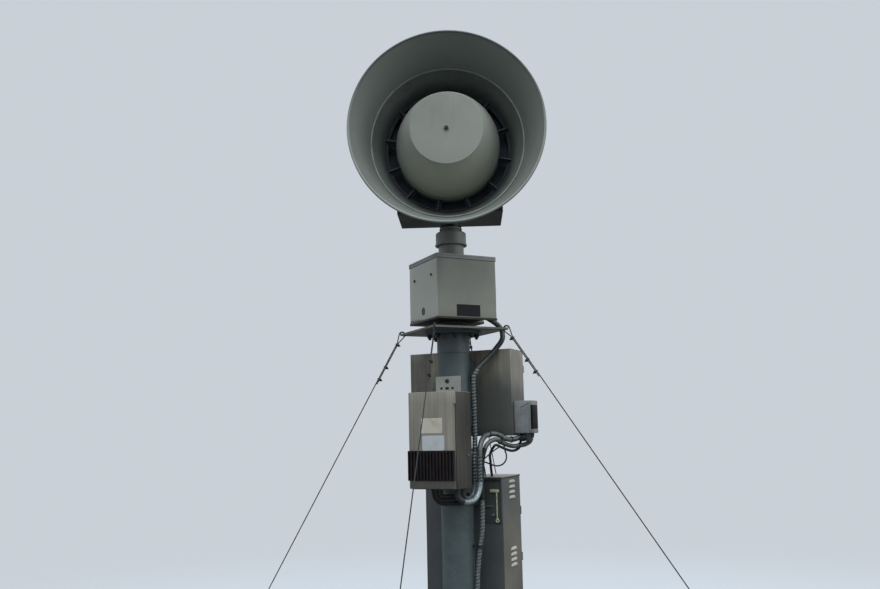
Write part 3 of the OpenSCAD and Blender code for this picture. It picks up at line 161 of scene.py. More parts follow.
def galvanised(name, dark, light, spangle, roughness=0.5, metallic=0.45, painted_light_and_grime=None):
    """Zinc from the bath, dulled outdoors: spangle metres across, grey bloom and rain streaks."""
    coat = Coat(name)
    crystals = coat.add("TexVoronoi", {"Vector": coat.place, "Scale": 1 / spangle}, feature="F1")
    tone = coat.add("SeparateColor", {"Color": crystals.outputs["Color"]})
    faint = coat.add("MapRange", {"Value": tone, 3: 0.0, 4: 0.55})
    flat = coat.add("Mix", {0: faint, 6: paint(dark), 7: paint(light)}, data_type="RGBA").outputs[2]
    coat.tones(dark, light, 0.11)
    coat.colour = coat.add("Mix", {0: 0.55, 6: flat, 7: coat.colour}, data_type="RGBA").outputs[2]
    coat.marks(light, 0.016, 0.6, 0.4)
    if painted_light_and_grime:
        coat.graded_tint(*painted_light_and_grime)
    coat.finish(roughness + 0.1, roughness - 0.06, coat.cloud(0.004), 0.00008, Metallic=metallic)


def brushed_stainless(name, dark, light, smear, roughness=0.42, metallic=0.8, painted_light_and_grime=None):
    """Sheet ground with a belt along its height. Scratches 0.2 mm apart are drawn 7 mm wide to show."""
    coat = Coat(name)
    coat.tones(dark, light, 0.16, 0.352)
    scratches = coat.cloud(1 / 150, 1.25)
    thin = coat.add("MapRange", {"Value": scratches, 1: 0.3, 2: 0.7, 3: 0.76, 4: 1.18})
    coat.colour = coat.add("Mix", {0: 1.0, 6: coat.colour, 7: thin}, data_type="RGBA",
                           blend_type="MULTIPLY").outputs[2]
    coat.marks(smear, 0.03, 0.35, 0.45)
    if painted_light_and_grime:
        coat.graded_tint(*painted_light_and_grime, 0.05, 0.12)
    coat.finish(roughness + 0.12, roughness - 0.05, scratches, 0.00005, Metallic=metallic)


def moulded(name, dark, light, roughness=0.5, ior=1.53, grain=0.002, depth=0.00004):
    """Moulded plastic or rubber with a fine spark-eroded grain and a little dust in its tone."""
    coat = Coat(name)
    coat.tones(dark, light, 0.05)
    coat.finish(roughness - 0.05, roughness + 0.1, coat.cloud(grain), depth, IOR=ior)


def zinc_plated(name, dark, light, roughness=0.4, metallic=0.75, rust=None):
    """Forged, wound or turned steel, zinc plated, with small rust freckles."""
    coat = Coat(name)
    coat.tones(dark, light, 0.012)
    if rust:
        coat.marks(rust, 0.009, 0.009, 0.7, 0.58, 0.64, 2.0)
    coat.finish(roughness - 0.08, roughness + 0.15, coat.cloud(0.0015), 0.00005, Metallic=metallic)


def bare_film(name, colour, stain, roughness=0.45, ior=1.49):
    """A bare self-adhesive film, yellowed by the sun and stained in patches."""
    coat = Coat(name)
    coat.tones(stain, colour, 0.05, low=0.25, high=0.5)
    coat.finish(roughness + 0.1, roughness, coat.cloud(0.012), 0.0001, IOR=ior)


def box_coat(name, dark, light, pale, brown):
    """Powder coat of the rotator box, painted lighter on its left face as painted light. Brown water stands
    in its foot lip, highest at the left corner."""
    coat = Coat(name)
    coat.tones(dark, light, 0.25)
    coat.marks(dark, 0.02, 0.4, 0.4)
    in_box = coat.add("Mapping", {"Vector": coat.place, "Rotation": (0, 0, -BOX_YAW)})
    x, y, z = coat.add("SeparateXYZ", {"Vector": in_box}).outputs
    # The left face is painted lighter, as light falls on it
    face = coat.add("MapRange", {"Value": x, 1: -0.1715, 2: -0.1685, 3: 0.85, 4: 0.0})
    lit_face_tone = coat.add("Mix", {0: face, 6: coat.colour, 7: paint(pale)}, data_type="RGBA").outputs[2]
    height = coat.add("MapRange", {"Value": z, 1: BOX_Z - 0.002, 2: BOX_Z + 0.045})
    ragged = coat.add("MapRange", {"Value": coat.cloud(1 / 55, detail=4.0), 3: -0.16, 4: 0.16})
    level = coat.add("Math", {0: height, 1: ragged}, operation="ADD")
    across = coat.add("MapRange", {"Value": y, 1: -0.20, 2: BOX_HALF, 3: 0.0, 4: 0.62})
    wet = coat.add("Math", {0: across, 1: level}, operation="SUBTRACT")
    stain = coat.add("MapRange", {"Value": wet, 1: -0.08, 2: 0.10, 4: 0.9})
    coat.colour = coat.add("Mix", {0: stain, 6: lit_face_tone, 7: paint(brown)}, data_type="RGBA").outputs[2]
    coat.finish(0.52, 0.42, coat.cloud(0.007), 0.0001, IOR=1.5)


# Finishes by name, grouped by how they are laid. Each says its tones and roughness, a metal also its metallic
# share, and its graded tint as (tint, where it is thickest, where it is gone, amount), all heights in metres.
# The tint is painted light and shade, save on the mast and the lower cabinet's side, which only darken
# towards their top. The throat's painted shade also says how ragged it is, how wide its patches are, and that
# it follows Y
SPRAYED = {
    # Enamel on laid-up fibreglass: grey-green, half gloss, chalky where rain runs, painted lighter towards
    # its top as painted light on the shaded upper half
    "horn_enamel": ("#666d69", "#757c78", "#7f8682", 0.48, ("#848b87", HORN_Z + 0.36, HORN_Z - 0.30, 0.9)),
    # The same enamel in the throat section, darkened towards the ports as painted shade deep in the throat
    "throat_enamel": ("#656c68", "#747b77", "#7e8581", 0.5,
                      ("#272c2f", -0.172, -0.262, 0.75, 0.01, 0.06, "Y")),
    # The rolled mouth, painted paler than the horn as a painted highlight, with painted shade darkening its
    # upper half
    "rim_enamel": ("#757d79", "#828985", "#8a918d", 0.5, ("#363c3e", HORN_Z + 0.36, HORN_Z - 0.08, 0.95)),
    # The same enamel on the bullet and on its flat turned disc, both painted lighter towards their bottom as
    # painted light
    "bullet_enamel": ("#848a83", "#90968f", "#989e97", 0.5, ("#b2b5a4", HORN_Z - 0.30, HORN_Z + 0.02, 0.85)),
    "disc_enamel": ("#6b716a", "#737a74", "#7c827d", 0.64, ("#888e87", HORN_Z - 0.19, HORN_Z + 0.16, 0.9)),
    # Enamel in the shade of the horn, painted near black below as painted shade
    "housing_enamel": ("#474d4b", "#555c59", "#616865", 0.55, ("#080c0e", HORN_Z - 0.33, HORN_Z - 0.12, 1.0)),
    # Blue-black inside the throat, painted dark as the shade deep in the throat and its ports, and the vanes
    # a shade above it
    "throat_primer": ("#2c343b", "#363e46", "#3e474f", 0.8),
    "vane_enamel": ("#3a4247", "#454d53", "#4e575c", 0.6),
    # Powder coat on the rotator box's lid, and the wet brown lip round its foot, darkened further as painted
    # shade under the box
    "lid_powder": ("#787e80", "#868b8d", "#6e7375", 0.45),
    "foot_stain": ("#20201b", "#302f29", "#1b1b16", 0.6),
    # Enamel on cast aluminium, smooth and half dull
    "cast_enamel": ("#6c736f", "#7a817d", "#606763", 0.5),
    "column_enamel": ("#6a706f", "#777d7b", "#5e6462", 0.5),
    # The neck is dark, darkened further as painted shade under the head
    "neck_enamel": ("#181c1d", "#23282a", "#2e3436", 0.45),
    "stand_enamel": ("#3c4143", "#4b5153", "#2c3032", 0.5),
    # Powder coat on the lower cabinet's steel: charcoal. Its side sheet is a lit copy, painted lighter and
    # browner and darker towards its top; its roof is painted pale as painted light, and its louvres paler
    # still as painted highlights
    "charcoal_powder": ("#3b4144", "#484e51", "#525859", 0.5),
    "brown_powder": ("#5c5e58", "#706f66", "#62615a", 0.5, ("#4b5052", LOW_TOP, LOW_TOP - 0.30, 0.9)),
    "roof_powder": ("#8b8b84", "#9e9e96", "#7e7e77", 0.5),
    "louvre_powder": ("#aaaaa1", "#bebeb5", "#98988f", 0.45),
    "bay_powder": ("#39423f", "#4a5350", "#2f3735", 0.55),
}
# Powder coat on folded aluminium sheet: light grey, fine peel, brown stain along its foot, and painted light
# on its left face
STAINED_AND_LIT_BOX = {"box_powder": ("#747972", "#7f847c", "#a1a7a0", "#403f33")}
# Steel from the zinc bath: blue-grey with soft spangle, palest on the thin mount plate
GALVANISED = {
    "mast_zinc": ("#495659", "#5d6b6e", 0.012, 0.55, 0.3, ("#414d50", REAR_TOP - 0.09, REAR_TOP - 0.24, 0.6)),
    "socket_zinc": ("#454e53", "#566066", 0.012, 0.5, 0.35),
    # The guy plate's zinc is painted dark, as painted shade on its underside
    "plate_zinc": ("#50544f", "#696e69", 0.010, 0.5, 0.4),
    "mount_zinc": ("#898d88", "#a0a39e", 0.008, 0.55, 0.3),
    "bracket_zinc": ("#3f484b", "#535d61", 0.012, 0.5, 0.4),
}
# Stainless sheet ground with a belt, in lit and shaded copies: warm grey and painted lighter on the sheets
# that face the light, smoke-brown as painted shade on those in the shade of the mast
BRUSHED = {
    # The front lid is the lit copy, with painted shade darkening its foot below the heat sink
    "lid_stainless": ("#8a8880", "#a09d94", "#7d7a72", 0.45, 0.55,
                      ("#5b5a58", FRONT_Z + 0.02, FRONT_Z + 0.22, 0.85)),
    # The front cabinet's body is the shaded copy, painted darker
    "flank_stainless": ("#4a4944", "#5f5d57", "#3f3e3a", 0.45, 0.6),
    # The near side's right sheet, with painted shade darkening its lower part
    "rear_stainless": ("#7c7b70", "#919083", "#6d6c64", 0.5, 0.3,
                       ("#484d4c", REAR_TOP - 0.27, REAR_TOP - 0.06, 0.9)),
    "rear_left_stainless": ("#5c5c55", "#727169", "#52534e", 0.45, 0.45),
    # The sides, painted lighter as the lit copy, with painted shade darkening their lower part
    "rear_side_stainless": ("#86847b", "#9a978d", "#7a776d", 0.42, 0.55,
                            ("#4f5352", REAR_TOP - 0.34, REAR_TOP - 0.10, 0.85)),
}
MOULDED = {
    # Rubber of the plug, its black gone dull grey outdoors
    "plug_rubber": ("#3a403d", "#484e4a", 0.6),
    # Hard anodised extrusion, black with a plum cast
    "anodised_black": ("#040305", "#1a0e14", 0.45, 1.5, 0.0015, 0.00003),
    # Polycarbonate box and its smoked window, whose gloss is dulled by dust
    "polycarbonate_grey": ("#757c7e", "#898f91", 0.42),
    "polycarbonate_smoked": ("#060809", "#101416", 0.55, 1.3),
    # Plasticised PVC, rubber and nylon, near black and softly glossy
    "pvc_black": ("#2a2f33", "#393f43", 0.34),
    "rubber_black": ("#0c0f11", "#15191b", 0.45),
    "nylon_black": ("#101315", "#1a1e21", 0.5),
    # Foam rubber in the joints, pale grey and half matt
    "gasket_grey": ("#828c86", "#98a29c", 0.5),
}
ZINC_PLATED = {
    # Wound steel strip of the ribbed conduits: dark in the grooves as painted shade, lighter on the crowns as
    # painted highlights, lightest on the base hose low down, and darkest as painted shade where it lies in
    # shade
    "strip_groove": ("#31393b", "#3f484a", 0.5, 0.3),
    "strip_crown": ("#637075", "#828f94", 0.38, 0.4),
    "strip_worn": ("#495356", "#616c6e", 0.42, 0.4),
    "strip_shade": ("#1a1f21", "#262c2e", 0.5, 0.3),
    "strip_washed": ("#6d7678", "#8e9697", 0.4, 0.3),
    # The same conduit under its shrunk-on sleeve in the bends: olive and dull above, painted lighter below as
    # painted highlights on the U-bends that face up
    "sleeve_olive": ("#464e4c", "#626b68", 0.32, 0.4),
    "sleeve_grey": ("#525e61", "#6b787b", 0.32, 0.4),
    "sleeve_silver": ("#78868b", "#97a5aa", 0.3, 0.45),
    # Stranded wire and its forged fittings, dull zinc with rust in the pits, and turned screws, brighter
    "rope_zinc": ("#23292b", "#353b3e", 0.55, 0.4, "#3a3027"),
    "fitting_zinc": ("#4a5052", "#7a8183", 0.42, 0.7, "#5a4030"),
    "bolt_black": ("#232729", "#34393b", 0.5, 0.6, "#4a3325"),
    "bolt_bright": ("#7c8384", "#a0a6a6", 0.32, 0.9),
    # Yellow-passivated zinc on the handle, bleached to a dull cream
    "handle_zinc": ("#a8ab93", "#c4c7ae", 0.45, 0.2),
}
# Bare films, matt and a little yellowed, the dark one under dust
FILMS = {
    "film_cream": ("#b9b7ad", "#a79b83", 0.6),
    "film_white": ("#b2babe", "#a0a8ac", 0.6),
    "film_grey": ("#7f8078", "#6a6a62"),
    "film_dark": ("#0a0c14", "#12161d", 0.6, 1.34),
}
for lay_on, finishes in ((sprayed_enamel, SPRAYED), (box_coat, STAINED_AND_LIT_BOX), (galvanised, GALVANISED),
                         (brushed_stainless, BRUSHED), (moulded, MOULDED), (zinc_plated, ZINC_PLATED),
                         (bare_film, FILMS)):
    for finish, values in finishes.items():
        lay_on(finish, *values)

# Finish and width of the eased edges in millimetres, for the CAD solids that stay
CAD_FINISH = {
    "base_flange": ("bracket_zinc", 1.2), "pole": ("mast_zinc", 0), "top_flange": ("socket_zinc", 1.5),
    "guy_plate": ("plate_zinc", 1.0), "flange_bolts": ("bolt_black", 0.6),
    "rope_thimbles": ("fitting_zinc", 0), "rope_clips": ("bolt_black", 0.3),
    "turnbuckles": ("fitting_zinc", 0.4), "guy_anchors": ("bracket_zinc", 1.0),
    "rotator_stand": ("stand_enamel", 1.0), "rotator_column": ("column_enamel", 1.0),
    "turntable_cap": ("cast_enamel", 1.2), "neck": ("neck_enamel", 1.0),
    "head_housing": ("housing_enamel", 2.5), "intake_louvres": ("housing_enamel", 0.8),
    # The throat's parts take a dark finish, painted as the shade deep in the throat
    "chopper_drum": ("throat_primer", 1.0), "throat_plate": ("throat_primer", 0.6),
    "stator_vanes": ("vane_enamel", 0.6), "horn_bolts": ("bolt_bright", 0.3),
    "rear_cover": ("housing_enamel", 1.0), "motor_cowl": ("housing_enamel", 2.0),
    "rear_brackets": ("bracket_zinc", 1.5), "front_mount": ("mount_zinc", 0.6),
    "rear_door": ("rear_side_stainless", 1.5), "lower_door": ("charcoal_powder", 1.5),
    "heat_sink": ("anodised_black", 0.5), "cabinet_latch": ("bolt_bright", 0.6),
    "conduit_glands": ("nylon_black", 0.8), "cable_ties": ("nylon_black", 0.4),
}


# Building in mesh code

HEAD_SLOTS = ("horn_front", "horn_rear", "bullet", "bullet_disc")
# Nodes that need no stand-in: the solids that stay, and then each node that a piece has taken over
dressed = set(CAD_FINISH)
CREASE = radians(35)


def stood(name, data):
    """Turns mesh data into an object of the scene."""
    mesh = bpy.data.meshes.new(name)
    data.to_mesh(mesh)
    data.free()
    thing = bpy.data.objects.new(name, mesh)
    bpy.context.scene.collection.objects.link(thing)
    return thing


def settle(name, data, finishes, slot):
    """Makes mesh data a piece in a node's slot, with its finishes, named with spaces between them. The
    first piece in a slot stands for the node's solid."""
    bmesh.ops.recalc_face_normals(data, faces=data.faces)
    piece = stood(name, data)
    for finish in finishes.split():
        piece.data.materials.append(bpy.data.materials[finish])
    for face in piece.data.polygons:
        face.use_smooth = True
    piece.data.set_sharp_from_angle(angle=CREASE)
    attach(piece, "siren_head" if slot in HEAD_SLOTS else "mast")
    if slot not in dressed:
        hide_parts(slot)
        dressed.add(slot)
    return piece


def carve(piece, cutter_data):
    """Cuts the closed cutter out of a piece and keeps the result as its mesh."""
    bmesh.ops.recalc_face_normals(cutter_data, faces=cutter_data.faces)
    cutter = stood("cutter", cutter_data)
    change = piece.modifiers.new("cut", "BOOLEAN")
    change.operation = "DIFFERENCE"
    change.solver = "EXACT"
    change.object = cutter
    bpy.context.view_layer.update()
    graph = bpy.context.evaluated_depsgraph_get()
    made = bpy.data.meshes.new_from_object(piece.evaluated_get(graph))
    piece.modifiers.clear()
    piece.data = made
    bpy.data.objects.remove(cutter)
    made.set_sharp_from_angle(angle=CREASE)


def mix(a, b, t):
    return a + (b - a) * t


def turns(count):
    """Even angles once round."""
    return [2 * pi * k / count for k in range(count)]


def skin(data, rings, ends=True, closed=False):
    """Quads between rings of points, all with the same count. Closed joins the last ring to the first."""
    rows = [[data.verts.new(p) for p in ring] for ring in rings]
    count = len(rows[0])
    faces = []
    for low, high in zip(rows, rows[1:] + rows[:1] if closed else rows[1:]):
        for i in range(count):
            j = (i + 1) % count
            faces.append(data.faces.new((low[i], low[j], high[j], high[i])))
    if ends and not closed:
        data.faces.new(list(reversed(rows[0])))
        data.faces.new(rows[-1])
    return faces


def rounded_outline(x0, x1, y0, y1, radius, turn=4, cell=0.08):
    """Points round a rectangle with rounded corners, its long sides divided into cells."""
    radius = max(radius, 1e-5)
    arcs = []
    for quarter, (x, y) in enumerate(((x1 - radius, y1 - radius), (x0 + radius, y1 - radius),
                                      (x0 + radius, y0 + radius), (x1 - radius, y0 + radius))):
        bend = [radians(90 * quarter + 90 * step / turn) for step in range(turn + 1)]
        arcs.append([(x + radius * cos(a), y + radius * sin(a)) for a in bend])
    points = []
    for arc, after in zip(arcs, arcs[1:] + arcs[:1]):
        (ax, ay), (bx, by) = arc[-1], after[0]
        parts = max(1, round(dist(arc[-1], after[0]) / cell))
        points += arc + [(mix(ax, bx, k / parts), mix(ay, by, k / parts)) for k in range(1, parts)]
    return points


def folded_box(data, low, high, radius, dent=0.0, cell=0.08, turn=2, place=TO_CAB):
    """A folded sheet box with rounded edges. Its walls are dented a little, as sheet is."""
    (x0, y0, z0), (x1, y1, z1) = low, high
    radius = min(radius, 0.49 * min(x1 - x0, y1 - y0, z1 - z0))
    bends = [radians(90 * step / turn) for step in range(turn + 1)]
    foot = [(z0 + radius * (1 - cos(a)), radius * (1 - sin(a))) for a in bends]
    wall = z1 - z0 - 2 * radius
    parts = max(1, round(wall / cell))
    walls = [(z0 + radius + wall * k / parts, 0.0) for k in range(1, parts)]
    top = [(z0 + z1 - z, inset) for z, inset in reversed(foot)]
    rings = []
    for z, inset in foot + walls + top:
        ring = []
        middle = Vector(((x0 + x1) / 2, (y0 + y1) / 2, z))
        for x, y in rounded_outline(x0 + inset, x1 - inset, y0 + inset, y1 - inset, radius, turn, cell):
            point = Vector((x, y, z))
            if dent:
                point -= (point - middle).normalized() * abs(noise.noise(point * 7.0) * dent)
            ring.append(place @ point)
        rings.append(ring)
    skin(data, rings)


def folded(name, finish, slot, *sizes):
    """One folded box or flat sheet as a piece."""
    data = bmesh.new()
    folded_box(data, *sizes)
    return settle(name, data, finish, slot)


def plate(name, finish, slot, width, height, radius, place, thick=0.0012, edge=0.0004):
    """A flat piece with rounded corners and eased edges, drawn in X and Y and raised along Z."""
    data = bmesh.new()
    rings = []
    for level, inset in ((0.0, 0.0), (thick - edge, 0.0), (thick, edge)):
        across, along = width / 2 - inset, height / 2 - inset
        outline = rounded_outline(-across, across, -along, along, radius, 6, 0.05)
        rings.append([place @ Vector((x, y, level)) for x, y in outline])
    skin(data, rings)
    settle(name, data, finish, slot)


def block(low, high, place=TO_CAB):
    """A plain block, only for cutting."""
    data = bmesh.new()
    (x0, y0, z0), (x1, y1, z1) = low, high
    corners = (x0, y0), (x1, y0), (x1, y1), (x0, y1)
    skin(data, [[place @ Vector((x, y, z)) for x, y in corners] for z in (z0, z1)])
    return data


def turned_part(data, outline, count, place, wobble=0.0):
    """A turned or moulded round part about a place's Z axis, from a closed loop of (radius, distance)."""
    rings = []
    for radius, distance in outline:
        ring = []
        for angle in turns(count):
            swell = 1 + wobble * noise.noise(Vector((2 * cos(angle), 2 * sin(angle), distance * 6)))
            reach = radius * swell
            ring.append(place @ Vector((reach * cos(angle), reach * sin(angle), distance)))
        rings.append(ring)
    skin(data, rings, closed=True)
    bmesh.ops.remove_doubles(data, verts=data.verts, dist=1e-6)


def turned(name, finish, slot, *sizes):
    """One turned part as a piece."""
    data = bmesh.new()
    turned_part(data, *sizes)
    settle(name, data, finish, slot)


def hex_head(data, place, across, height):
    """A hexagon head with its chamfered crown, drawn up along Z."""
    radius = across / 2 / cos(radians(30))
    rings = []
    for level, share in ((0.0, 0.97), (0.06, 1.0), (0.8, 1.0), (0.93, 0.95), (1.0, 0.84)):
        ring = []
        for angle in turns(24):
            flat = across / 2 / cos((angle + radians(30)) % radians(60) - radians(30))
            reach = min(flat, radius * share) if level > 0.5 else min(flat, radius) * share
            ring.append(place @ Vector((reach * cos(angle), reach * sin(angle), level * height)))
        rings.append(ring)
    skin(data, rings)


def smoothed(points, parts):
    """A smooth line through points, with parts steps to each stretch."""
    line = []
    for i in range(len(points) - 1):
        a, b = points[max(i - 1, 0)], points[i]
        c, d = points[i + 1], points[min(i + 2, len(points) - 1)]
        for k in range(parts):
            t = k / parts
            line.append(0.5 * (2 * b + (c - a) * t + (2 * a - 5 * b + 4 * c - d) * t * t
                               + (3 * b - a - 3 * c + d) * t * t * t))
    return line + [points[-1]]


def paced(points, step):
    """The same line with points a fixed step apart."""
    line, travelled, target = [points[0].copy()], 0.0, step
    for a, b in zip(points, points[1:]):
        length = (b - a).length
        while length > 0 and travelled + length >= target:
            line.append(a.lerp(b, (target - travelled) / length))
            target += step
        travelled += length
    if (line[-1] - points[-1]).length < 0.4 * step:
        line.pop()
    line.append(points[-1].copy())
    return line


def hose(data, line, girth, sides, skin_of=None):
    """A hose along a line. girth gives its radius and skin_of its finish, by travelled length and angle."""
    start = (line[1] - line[0]).normalized()
    side = Vector((0, 0, 1)).cross(start)
    side = side if side.length > 0.2 else Vector((1, 0, 0)).cross(start)
    travelled, rings, lengths = 0.0, [], []
    for i, point in enumerate(line):
        along = (line[min(i + 1, len(line) - 1)] - line[max(i - 1, 0)]).normalized()
        side = (side - along * side.dot(along)).normalized()
        other = along.cross(side)
        if i:
            travelled += (point - line[i - 1]).length
        lengths.append(travelled)
        rings.append([point + girth(travelled, a) * (cos(a) * side + sin(a) * other) for a in turns(sides)])
    faces = skin(data, rings)
    if skin_of:
        for index, face in enumerate(faces):
            ring, k = divmod(index, sides)
            middle = (lengths[ring] + lengths[ring + 1]) / 2
            face.material_index = int(skin_of(middle, 2 * pi * (k + 0.5) / sides))
    return travelled


def plain(radius):
    return lambda travelled, angle: radius


def at(frame_turn, x, y, z, facing):
    """The place of a flat or turned piece: a spot in a turned frame, and the way that it faces."""
    return frame_turn @ Matrix.Translation((x, y, z)) @ facing


def routed(points, parts, step):
    """A smooth line with even steps through points of the cabinets' frame, which are in millimetres."""
    return paced(smoothed([TO_CAB @ (Vector(point) / 1000) for point in points], parts), step)


# Horn, bullet and disc

ON_HORN = Matrix.Translation((0, 0, HORN_Z)) @ FACE_FRONT
HORN_SIDES, BULLET_SIDES = 180, 160
# The laminate is laid up by hand, so its round is out by about 1 part in 800
WOBBLE = 0.0012


def build_horn():
    """The mouth and throat sections with their bolted flanges, and what shows in their joints."""
    wall, steps = 0.006, 28
    shares = [i / steps for i in range(steps + 1)]
    front = [(mix(SEAM_R, MOUTH_R, 0.86 * t + 0.14 * t * t), mix(SEAM_Y, MOUTH_Y, t)) for t in shares]
    rear = [(mix(THROAT_R, SEAM_R, 1.1 * t - 0.1 * t * t), mix(THROAT_Y, SEAM_Y, t)) for t in shares]
    # The mouth is curled outwards and back on itself
    curl = [(0.4765 + 0.0065 * cos(a), 0.5465 + 0.0065 * sin(a))
            for a in [radians(180 - 24 * k) for k in range(11)]]
    outline = front[:-1] + curl + [(r + wall, d) for r, d in reversed(front[2:-2])]
    outline += [(0.404, 0.321), (0.406, 0.319), (0.424, 0.319), (0.4255, 0.3175), (0.4255, SEAM_Y)]
    data = bmesh.new()
    turned_part(data, outline, HORN_SIDES, ON_HORN, WOBBLE)
    # The curl of the mouth takes the rim's finish, with its painted highlight and painted shade
    for face in data.faces:
        middle = face.calc_center_median()
        face.material_index = int(hypot(middle.x, middle.z - HORN_Z) > 0.471 and middle.y < -0.539)
    settle("horn_mouth_section", data, "horn_enamel rim_enamel", "horn_front")

    outline = rear + [(0.4255, SEAM_Y), (0.4255, 0.3085), (0.424, 0.307), (0.404, 0.307), (0.4005, 0.305)]
    outline += [(r + wall, d) for r, d in reversed(rear[2:-2])]
    outline += [(0.333, 0.181), (0.335, 0.178), (0.370, 0.178), (0.3715, 0.1765), (0.3715, THROAT_Y)]
    turned("horn_throat_section", "throat_enamel", "horn_rear", outline, HORN_SIDES, ON_HORN, WOBBLE)

    # Gasket squeezed out of the joint, and the lip where the throat plate starts
    for name, finish, radius, distance, girth in (("seam_gasket", "gasket_grey", 0.3905, SEAM_Y, 0.0046),
                                                  ("throat_lip", "vane_enamel", 0.3238, 0.176, 0.0024)):
        loop = [(radius + girth * cos(a), distance + 1.3 * girth * sin(a)) for a in turns(10)]
        turned(name, finish, "horn_front", loop, HORN_SIDES, ON_HORN)


def build_bullet():
    """The bullet, its flat front disc and the one bolt in the disc's middle."""
    steps, nose = 30, 1.62
    shares = [k / steps for k in range(steps + 1)]
    outline = [(0.0, THROAT_Y)]
    outline += [(mix(BULLET_FOOT_R, BULLET_R, sin(radians(90 * t))), mix(THROAT_Y, BULLET_WIDE_Y, t))
                for t in shares]
    outline += [(mix(BULLET_R, DISC_R, t ** nose), mix(BULLET_WIDE_Y, DISC_Y, t)) for t in shares[1:]]
    outline.append((0.0, DISC_Y))
    turned("bullet_shell", "bullet_enamel", "bullet", outline, BULLET_SIDES, ON_HORN, WOBBLE)
    outline = [(0.0, DISC_Y), (0.1795, DISC_Y), (0.181, 0.5108), (0.181, 0.5135), (0.180, 0.5152),
               (0.1775, 0.516), (0.016, 0.516), (0.016, 0.5176), (0.0154, 0.518), (0.0, 0.518)]
    turned("front_disc", "disc_enamel", "bullet_disc", outline, BULLET_SIDES, ON_HORN)
    data = bmesh.new()
    hex_head(data, at(ON_HORN, 0, 0, 0.518, UPRIGHT), 0.0192, 0.008)
    settle("disc_bolt", data, "bolt_black", "bullet_disc")


# Rotator box and its lid

def build_rotator():
    """The box with its holes and its notch for the hose, the lip round its foot, and what is fixed to it."""
    slot, port_z, screw_y, screw_z = "rotator_housing", BOX_Z + 0.057, 0.104, BOX_Z + 0.237
    notch = (BOX_HALF - NOTCH_W, 0.005 - BOX_HALF, BOX_Z - 0.02), (BOX_HALF + 0.02, -0.030, BOX_Z + NOTCH_H)
    walls = folded("box_walls", "box_powder", slot, (-BOX_HALF, -BOX_HALF, BOX_Z + 0.001),
                   (BOX_HALF, BOX_HALF, BOX_TOP), 0.0035, 0.0022, 0.05, 3, TO_BOX)
    carve(walls, block(*notch, TO_BOX))
    for y, z, radius in ((0, port_z, 0.021), (-screw_y, screw_z, 0.0042), (screw_y, screw_z, 0.0042)):
        cut = bmesh.new()
        round_hole = [(y + radius * cos(a), z + radius * sin(a)) for a in turns(40)]
        skin(cut, [[TO_BOX @ Vector((x, *point)) for point in round_hole] for x in (-0.19, -0.167)])
        carve(walls, cut)
    # The lip is stained brown and darkened as painted shade
    lip = folded("box_foot_lip", "foot_stain", slot, (-0.175, -0.175, BOX_Z), (0.175, 0.175, BOX_Z + 0.012),
                 0.0018, 0.0006, 0.04, 3, TO_BOX)
    carve(lip, block(*notch, TO_BOX))
    # Lid pressed over the walls, with a dark joint under its skirt: (depth under the box's top, half side)
    for name, finish, radius, closed, levels in (
            ("box_lid", "lid_powder", 0.004, False,
             ((-0.0012, 0.1732), (0.018, 0.1732), (0.018, 0.1754), (0.0085, 0.1757), (0.0080, 0.1740),
              (0.0055, 0.1740), (0.0050, 0.1760), (-0.0014, 0.1760), (-0.0032, 0.1754), (-0.004, 0.1736))),
            ("lid_gasket", "rubber_black", 0.003, True,
             ((0.0205, 0.1728), (0.0205, 0.1742), (0.0175, 0.1742), (0.0175, 0.1728)))):
        data = bmesh.new()
        skin(data, [[TO_BOX @ Vector((x, y, BOX_TOP - under))
                     for x, y in rounded_outline(-half, half, -half, half, radius, 4, 0.06)]
                    for under, half in levels], closed=closed)
        settle(name, data, finish, "rotator_lid")
    # Plug in the left face: a rubber rim, a grey cap with a sunk middle
    port = at(TO_BOX, -BOX_HALF, 0, port_z, FACE_LEFT)
    turned("plug_rim", "rubber_black", "rotator_screws",
           [(0.0, -0.0055), (0.0206, -0.0055), (0.0206, -0.0012), (0.0200, -0.0004), (0.0178, -0.0004),
            (0.0170, -0.0030), (0.0, -0.0030)], 48, port)
    turned("plug_cap", "plug_rubber", "rotator_screws",
           [(0.0, -0.0040), (0.0166, -0.0040), (0.0166, -0.0006), (0.0160, 0.0), (0.0132, 0.0),
            (0.0124, -0.0012), (0.0, -0.0014)], 48, port)
    data = bmesh.new()
    for y in (-screw_y, screw_y):
        hex_head(data, at(TO_BOX, -BOX_HALF, y, screw_z, FACE_LEFT), 0.013, 0.005)
    settle("side_screws", data, "bolt_black", "rotator_screws")
    plate("bare_plate", "film_dark", "rotator_screws", 0.137, 0.061, 0.003,
          at(TO_BOX, 0.005, -BOX_HALF, BOX_Z + 0.0465, FACE_FRONT))


# Cabinets

def build_rear_cabinet():
    """The shell, the two sheets of its near side with a seam between them, and the rain edge on top."""
    slot, far, near, fold = "rear_cabinet", NEAR_Y + REAR_DEEP, NEAR_Y + 0.0016, 0.6 * REAR_L
    low, high = REAR_Z + 0.001, REAR_TOP - 0.001
    # The sheets are lit and shaded copies of one stainless; painted shade darkens the shell and the near
    # side's right sheet towards their foot
    folded("rear_shell", "rear_side_stainless", slot, (REAR_L, NEAR_Y + 0.001, REAR_Z),
           (REAR_R, far - 0.0008, REAR_TOP - 0.0018), 0.003, 0.0015, 0.06, 3)
    folded("rear_sheet_left", "rear_left_stainless", slot, (REAR_L + 0.001, NEAR_Y, low),
           (fold - 0.001, near, high), *SHEET)
    folded("rear_sheet_right", "rear_stainless", slot, (fold + 0.001, NEAR_Y, low),
           (REAR_R - 0.0015, near, high), *SHEET)
    folded("rear_rain_edge", "lid_stainless", slot, (REAR_L, NEAR_Y, REAR_TOP - 0.0035),
           (REAR_R, far, REAR_TOP), 0.0012)


